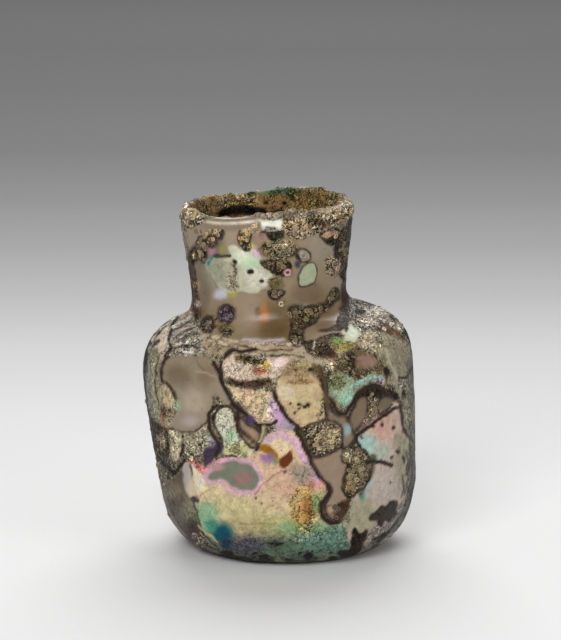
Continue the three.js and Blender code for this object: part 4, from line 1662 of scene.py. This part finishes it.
    def part_finishes(self, surface: Surface, inner: np.ndarray, places: np.ndarray) -> None:
        """Gives every face the finish of film, bare glass or inner face.

        Args:
            surface: the weathering of every vertex.
            inner: whether a vertex is on the inner face of the wall.
            places: where the vertices are.
        """
        mesh = self.vessel.data
        for finish in (FILM_FINISH, GLASS_FINISH, INNER_FINISH):
            mesh.materials.append(finish.material())
        corners = read(mesh.polygons, "vertices", 3, int)
        bare = np.where(self.snapped, 0, surface.window)[corners].sum(1) > 0
        below = places[corners][:, :, 2].mean(1) < self.deep_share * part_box("flask")[1].z
        deep = inner[corners].all(1) & below
        finish = np.where(deep, 2, np.where(bare, 1, 0)).astype(np.int32)
        mesh.polygons.foreach_set("material_index", finish)


@dataclass(frozen=True)
class Cluster:
    """A patch of burst bubbles: its middle and reach in pixels, and its bubbles' number, colour and size."""

    centre: Pixel
    reach: Pixel
    count: int
    colour: Colour = CREAM
    radius: float = 2.3


CLUSTERS: tuple[Cluster, ...] = (
    Cluster((200, 236), (6, 7), 8, (150, 130, 100)),
    Cluster((214, 234), (8, 5), 8, (206, 184, 140)),
    Cluster((202, 250), (5, 10), 9, (160, 142, 110)),
    Cluster((243, 234), (6, 8), 10, (190, 164, 116)),
    Cluster((256, 229), (6, 4), 5, (206, 186, 140)),
    Cluster((278, 248), (16, 7), 14, (150, 134, 104)),
    Cluster((303, 256), (0, 0), 1, (150, 150, 136), 5.4),
    Cluster((300, 229), (16, 4), 14, (180, 158, 124)),
    Cluster((331, 235), (7, 3), 4, (190, 150, 130), 2.8),
    Cluster((343, 254), (4, 14), 12, (126, 106, 78)),
    Cluster((331, 266), (6, 8), 7, (176, 150, 130), 2.8),
    Cluster((331, 295), (4, 7), 6, (130, 110, 80)),
    Cluster((321, 308), (6, 4), 5, (130, 110, 80)),
    Cluster((303, 314), (13, 7), 16, (136, 118, 82), 2.6),
    Cluster((296, 334), (5, 10), 8, (110, 92, 62)),
    Cluster((225, 313), (6, 8), 8, (120, 104, 124)),
    Cluster((207, 325), (4, 7), 6, (150, 132, 106)),
    Cluster((276, 294), (5, 2), 4, (150, 130, 92)),
    Cluster((280, 306), (0, 0), 1, (214, 196, 168), 4.2),
    Cluster((275, 266), (9, 5), 8, (116, 100, 74)),
    Cluster((287, 272), (0, 0), 1, (206, 160, 168), 4.0),
    Cluster((323, 438), (14, 13), 26, (186, 170, 128)),
    Cluster((357, 472), (9, 20), 24, (164, 150, 112), 2.6),
    Cluster((374, 406), (5, 14), 10, (156, 140, 106), 2.4),
    Cluster((385, 322), (20, 10), 22, (206, 194, 172)),
    Cluster((376, 345), (16, 8), 12, (176, 162, 128)),
    Cluster((190, 444), (14, 11), 12, (206, 196, 164), 1.9),
    Cluster((160, 450), (5, 22), 10, (140, 124, 98), 1.9),
    Cluster((190, 212), (8, 8), 16, (206, 184, 136)),
    Cluster((345, 208), (8, 8), 14, (196, 176, 136)),
    Cluster((210, 548), (16, 8), 12, (120, 104, 84), 1.9),
    Cluster((285, 559), (60, 3), 18, (70, 64, 56), 1.8),
    Cluster((338, 512), (5, 8), 5, (110, 92, 72), 2.6),
)


@dataclass(frozen=True)
class Level:
    """One ring of a bubble's section: its radius, its height and how far it has the bubble's colour."""

    radius: float
    height: float
    shade: float


@dataclass
class BurstBubbles:
    """The small crater rings where bubbles in the weathered skin have burst, half sunk in it."""

    vessel: bpy.types.Object
    camera: PhotoCamera
    clusters: tuple[Cluster, ...] = CLUSTERS
    name: str = "burst_bubbles"
    sides: int = 10
    seed: int = 7
    front_from: float = 0.03
    hidden_to: float = -0.1
    hidden_count: int = 150
    hidden_radius: float = 0.5 * MM
    hidden_crust: float = 0.6
    off_floor: float = 3 * MM
    crust: float = 0.4
    line: float = -4.0
    levels: tuple[Level, ...] = (
        Level(1.0, -0.3, 0.35), Level(0.8, 0.34, 1.0), Level(0.5, 0.3, 0.85), Level(0.22, -0.02, 0.3),
    )

    def ring(self) -> bpy.types.Mesh:
        """Models one bubble of radius 1: a circle drawn in over the crest and down into the pit.

        Returns:
            Its mesh.
        """
        foot = self.levels[0]
        bpy.ops.mesh.primitive_circle_add(
            vertices=self.sides, radius=foot.radius, fill_type="NOTHING", location=(0, 0, 0)
        )
        bubble = bpy.context.active_object
        bpy.ops.object.mode_set(mode="EDIT")
        bpy.ops.mesh.select_all(action="SELECT")
        bpy.ops.transform.translate(value=(0, 0, foot.height))
        for last, level in zip(self.levels, self.levels[1:]):
            up = (0, 0, level.height - last.height)
            across = level.radius / last.radius
            bpy.ops.mesh.extrude_region_move(TRANSFORM_OT_translate={"value": up})
            bpy.ops.transform.resize(value=(across, across, 1))
        bpy.ops.mesh.edge_face_add()
        bpy.ops.mesh.select_all(action="SELECT")
        bpy.ops.mesh.quads_convert_to_tris()
        bpy.ops.mesh.normals_make_consistent(inside=False)
        bpy.ops.object.mode_set(mode="OBJECT")
        mesh = bubble.data
        bpy.data.objects.remove(bubble)
        mesh.shade_smooth()
        return mesh

    def seats(self) -> list[tuple[np.ndarray, np.ndarray, float, Colour]]:
        """Picks where every bubble goes.

        Returns:
            Each bubble's place, direction, radius and colour.
        """
        places, normals = places_and_normals(self.vessel.data)
        crust = read(self.vessel.data.attributes["crust"].data, "value", 1, np.float32)
        facing = self.camera.facing(places, normals)
        outward = (places[:, :2] * normals[:, :2]).sum(1) > 0
        front = np.flatnonzero((facing > self.front_from) & outward)
        pixels = self.camera.pixels(places[front])
        chance = np.random.default_rng(self.seed)
        seats = []
        for cluster in self.clusters:
            for _ in range(cluster.count):
                turn, share = chance.random() * 2 * math.pi, math.sqrt(chance.random())
                offset = np.multiply(cluster.reach, (share * math.cos(turn), share * math.sin(turn)))
                nearest = front[((pixels - np.add(cluster.centre, offset)) ** 2).sum(1).argmin()]
                radius = cluster.radius * chance.uniform(0.7, 1.25) / self.camera.pixels_per_metre
                shade = chance.uniform(0.75, 1.15)
                colour = tuple(min(255, part * shade) for part in cluster.colour)
                seats.append((places[nearest], normals[nearest], radius, colour))
        crusted = (crust > self.hidden_crust) & (places[:, 2] > self.off_floor)
        behind = np.flatnonzero((facing < self.hidden_to) & outward & crusted)
        for vertex in chance.choice(behind, self.hidden_count, replace=False):
            shade = chance.uniform(0.6, 0.95)
            colour = tuple(part * shade for part in CREAM)
            radius = self.hidden_radius * chance.uniform(0.7, 1.3)
            seats.append((places[vertex], normals[vertex], radius, colour))
        return seats

    def build(self) -> bpy.types.Object:
        """Sets a ring at every seat and joins them.

        Returns:
            The finished piece.
        """
        ring = self.ring()
        bpy.ops.object.select_all(action="DESELECT")
        for place, normal, radius, colour in self.seats():
            mesh = ring.copy()
            turn = Vector(normal).to_track_quat("Z", "Y").to_matrix().to_4x4()
            mesh.transform(Matrix.Translation(Vector(place)) @ turn @ Matrix.Scale(radius, 4))
            self.dress(mesh, colour)
            bubble = bpy.data.objects.new(self.name, mesh)
            bpy.context.scene.collection.objects.link(bubble)
            bubble.select_set(True)
            bpy.context.view_layer.objects.active = bubble
        bpy.ops.object.join()
        piece = bpy.context.active_object
        piece.name = self.name
        piece.data.name = self.name
        piece.data.materials.append(BUBBLE_FINISH.material())
        return piece

    def dress(self, mesh: bpy.types.Mesh, colour: Colour) -> None:
        """Stores a bubble's colour, dark at its foot and in its pit.

        Args:
            mesh: the bubble's mesh.
            colour: its colour at the crest.
        """
        shades = np.repeat([level.shade for level in self.levels], self.sides)
        store(mesh, "tint", np.array(DARK) + (np.array(colour) - DARK) * shades[:, None])
        store(mesh, "crust", np.full(len(shades), self.crust))
        store(mesh, "line", np.full(len(shades), self.line))


@dataclass(frozen=True)
class Lamp:
    """One soft square lamp."""

    name: str
    place: tuple[float, float, float]
    size: float
    power: float
    aim: tuple[float, float, float] = (0, 0, 0.04)

    def build(self) -> None:
        """Adds the lamp, shining on the flask."""
        data = bpy.data.lights.new(self.name, "AREA")
        data.size = self.size
        data.energy = self.power
        lamp = bpy.data.objects.new(self.name, data)
        bpy.context.scene.collection.objects.link(lamp)
        lamp.location = self.place
        lamp.rotation_euler = (Vector(self.place) - Vector(self.aim)).to_track_quat("Z", "Y").to_euler()


@dataclass
class Studio:
    """The pale floor and the soft light."""

    reach: float = 3.0
    near_y: float = -1.5
    far_row: float = 1.1
    near_row: float = -0.1
    floor_roughness: float = 0.75
    floor_specular: float = 0.2
    room_light: float = 0.26
    mirrored_light: float = 0.07
    # painted shade: greys that darken the floor far behind the flask, where the light falls off
    painted_shade_greys: tuple[tuple[float, int], ...] = (
        (0.0, 212), (0.13, 210), (0.2, 197), (0.26, 182), (0.32, 160), (0.39, 138), (0.47, 119), (0.56, 104),
        (0.7, 100), (0.82, 104), (1.0, 122),
    )
    lamps: tuple[Lamp, ...] = (
        Lamp("behind_above", (0.03, 0.68, 0.8), 0.9, 11),
        Lamp("front_left", (-0.3, -0.9, 0.7), 0.6, 9.4),
        Lamp("front_right", (0.7, -0.6, 0.4), 0.4, 2.2),
    )

    def floor(self) -> None:
        """Adds the floor, painted darker as shade far behind the flask, as the photograph's sweep is."""
        bpy.ops.mesh.primitive_plane_add(size=2 * self.reach, location=(0, self.reach + self.near_y, 0))
        floor = bpy.context.active_object
        floor.name = "floor"
        bpy.ops.object.transform_apply(location=True)
        material = bpy.data.materials.new("floor_paper")
        material.use_nodes = True
        sheet = NodeSheet(material.node_tree)
        place = sheet.add("TexCoord").outputs["Object"]
        depth = sheet.add("SeparateXYZ", Vector=place).outputs["Y"]
        share = sheet.add("MapRange", Value=depth, From_Min=self.near_row, From_Max=self.far_row).outputs[0]
        ramp = sheet.add("ValToRGB", Fac=share)
        while len(ramp.color_ramp.elements) < len(self.painted_shade_greys):
            ramp.color_ramp.elements.new(0.5)
        for element, (position, grey) in zip(ramp.color_ramp.elements, self.painted_shade_greys):
            element.position = position
            element.color = shader_colour((grey, grey, grey))
        shader = sheet.add(
            "BsdfPrincipled",
            Base_Color=ramp.outputs[0],
            Roughness=self.floor_roughness,
            Specular_IOR_Level=self.floor_specular,
        )
        sheet.add("OutputMaterial", Surface=shader.outputs[0])
        floor.data.materials.append(material)

    def room(self) -> None:
        """Gives the world the room's own light, which is dimmer in reflections."""
        world = bpy.data.worlds.new("room")
        world.use_nodes = True
        sheet = NodeSheet(world.node_tree)
        mirrored = sheet.add("LightPath").outputs["Is Glossy Ray"]
        strength = sheet.scaled(mirrored, self.mirrored_light - self.room_light, self.room_light)
        room = sheet.add("Background", Color=(1, 1, 1, 1), Strength=strength)
        sheet.add("OutputWorld", Surface=room.outputs[0])
        bpy.context.scene.world = world
        bpy.context.scene.view_settings.view_transform = "Standard"

    def build(self) -> None:
        """Adds floor, lamps and the room's own light."""
        self.floor()
        for lamp in self.lamps:
            lamp.build()
        self.room()


def main() -> None:
    """Builds the scene, piece by piece."""
    logging.basicConfig(level=logging.INFO, format="%(message)s")
    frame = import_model()
    camera = PhotoCamera()
    camera.build()
    Studio().build()
    flask = WeatheredFlask(frame["nodes"]["flask"], camera, WeatheringAndPaintedLight(camera)).build()
    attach(flask, "root")
    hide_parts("flask")
    bubbles = BurstBubbles(flask, camera).build()
    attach(bubbles, "root")
    for piece in (flask, bubbles):
        log.info("%s: %d triangles", piece.name, len(piece.data.polygons))


if __name__ == "__main__":
    main()
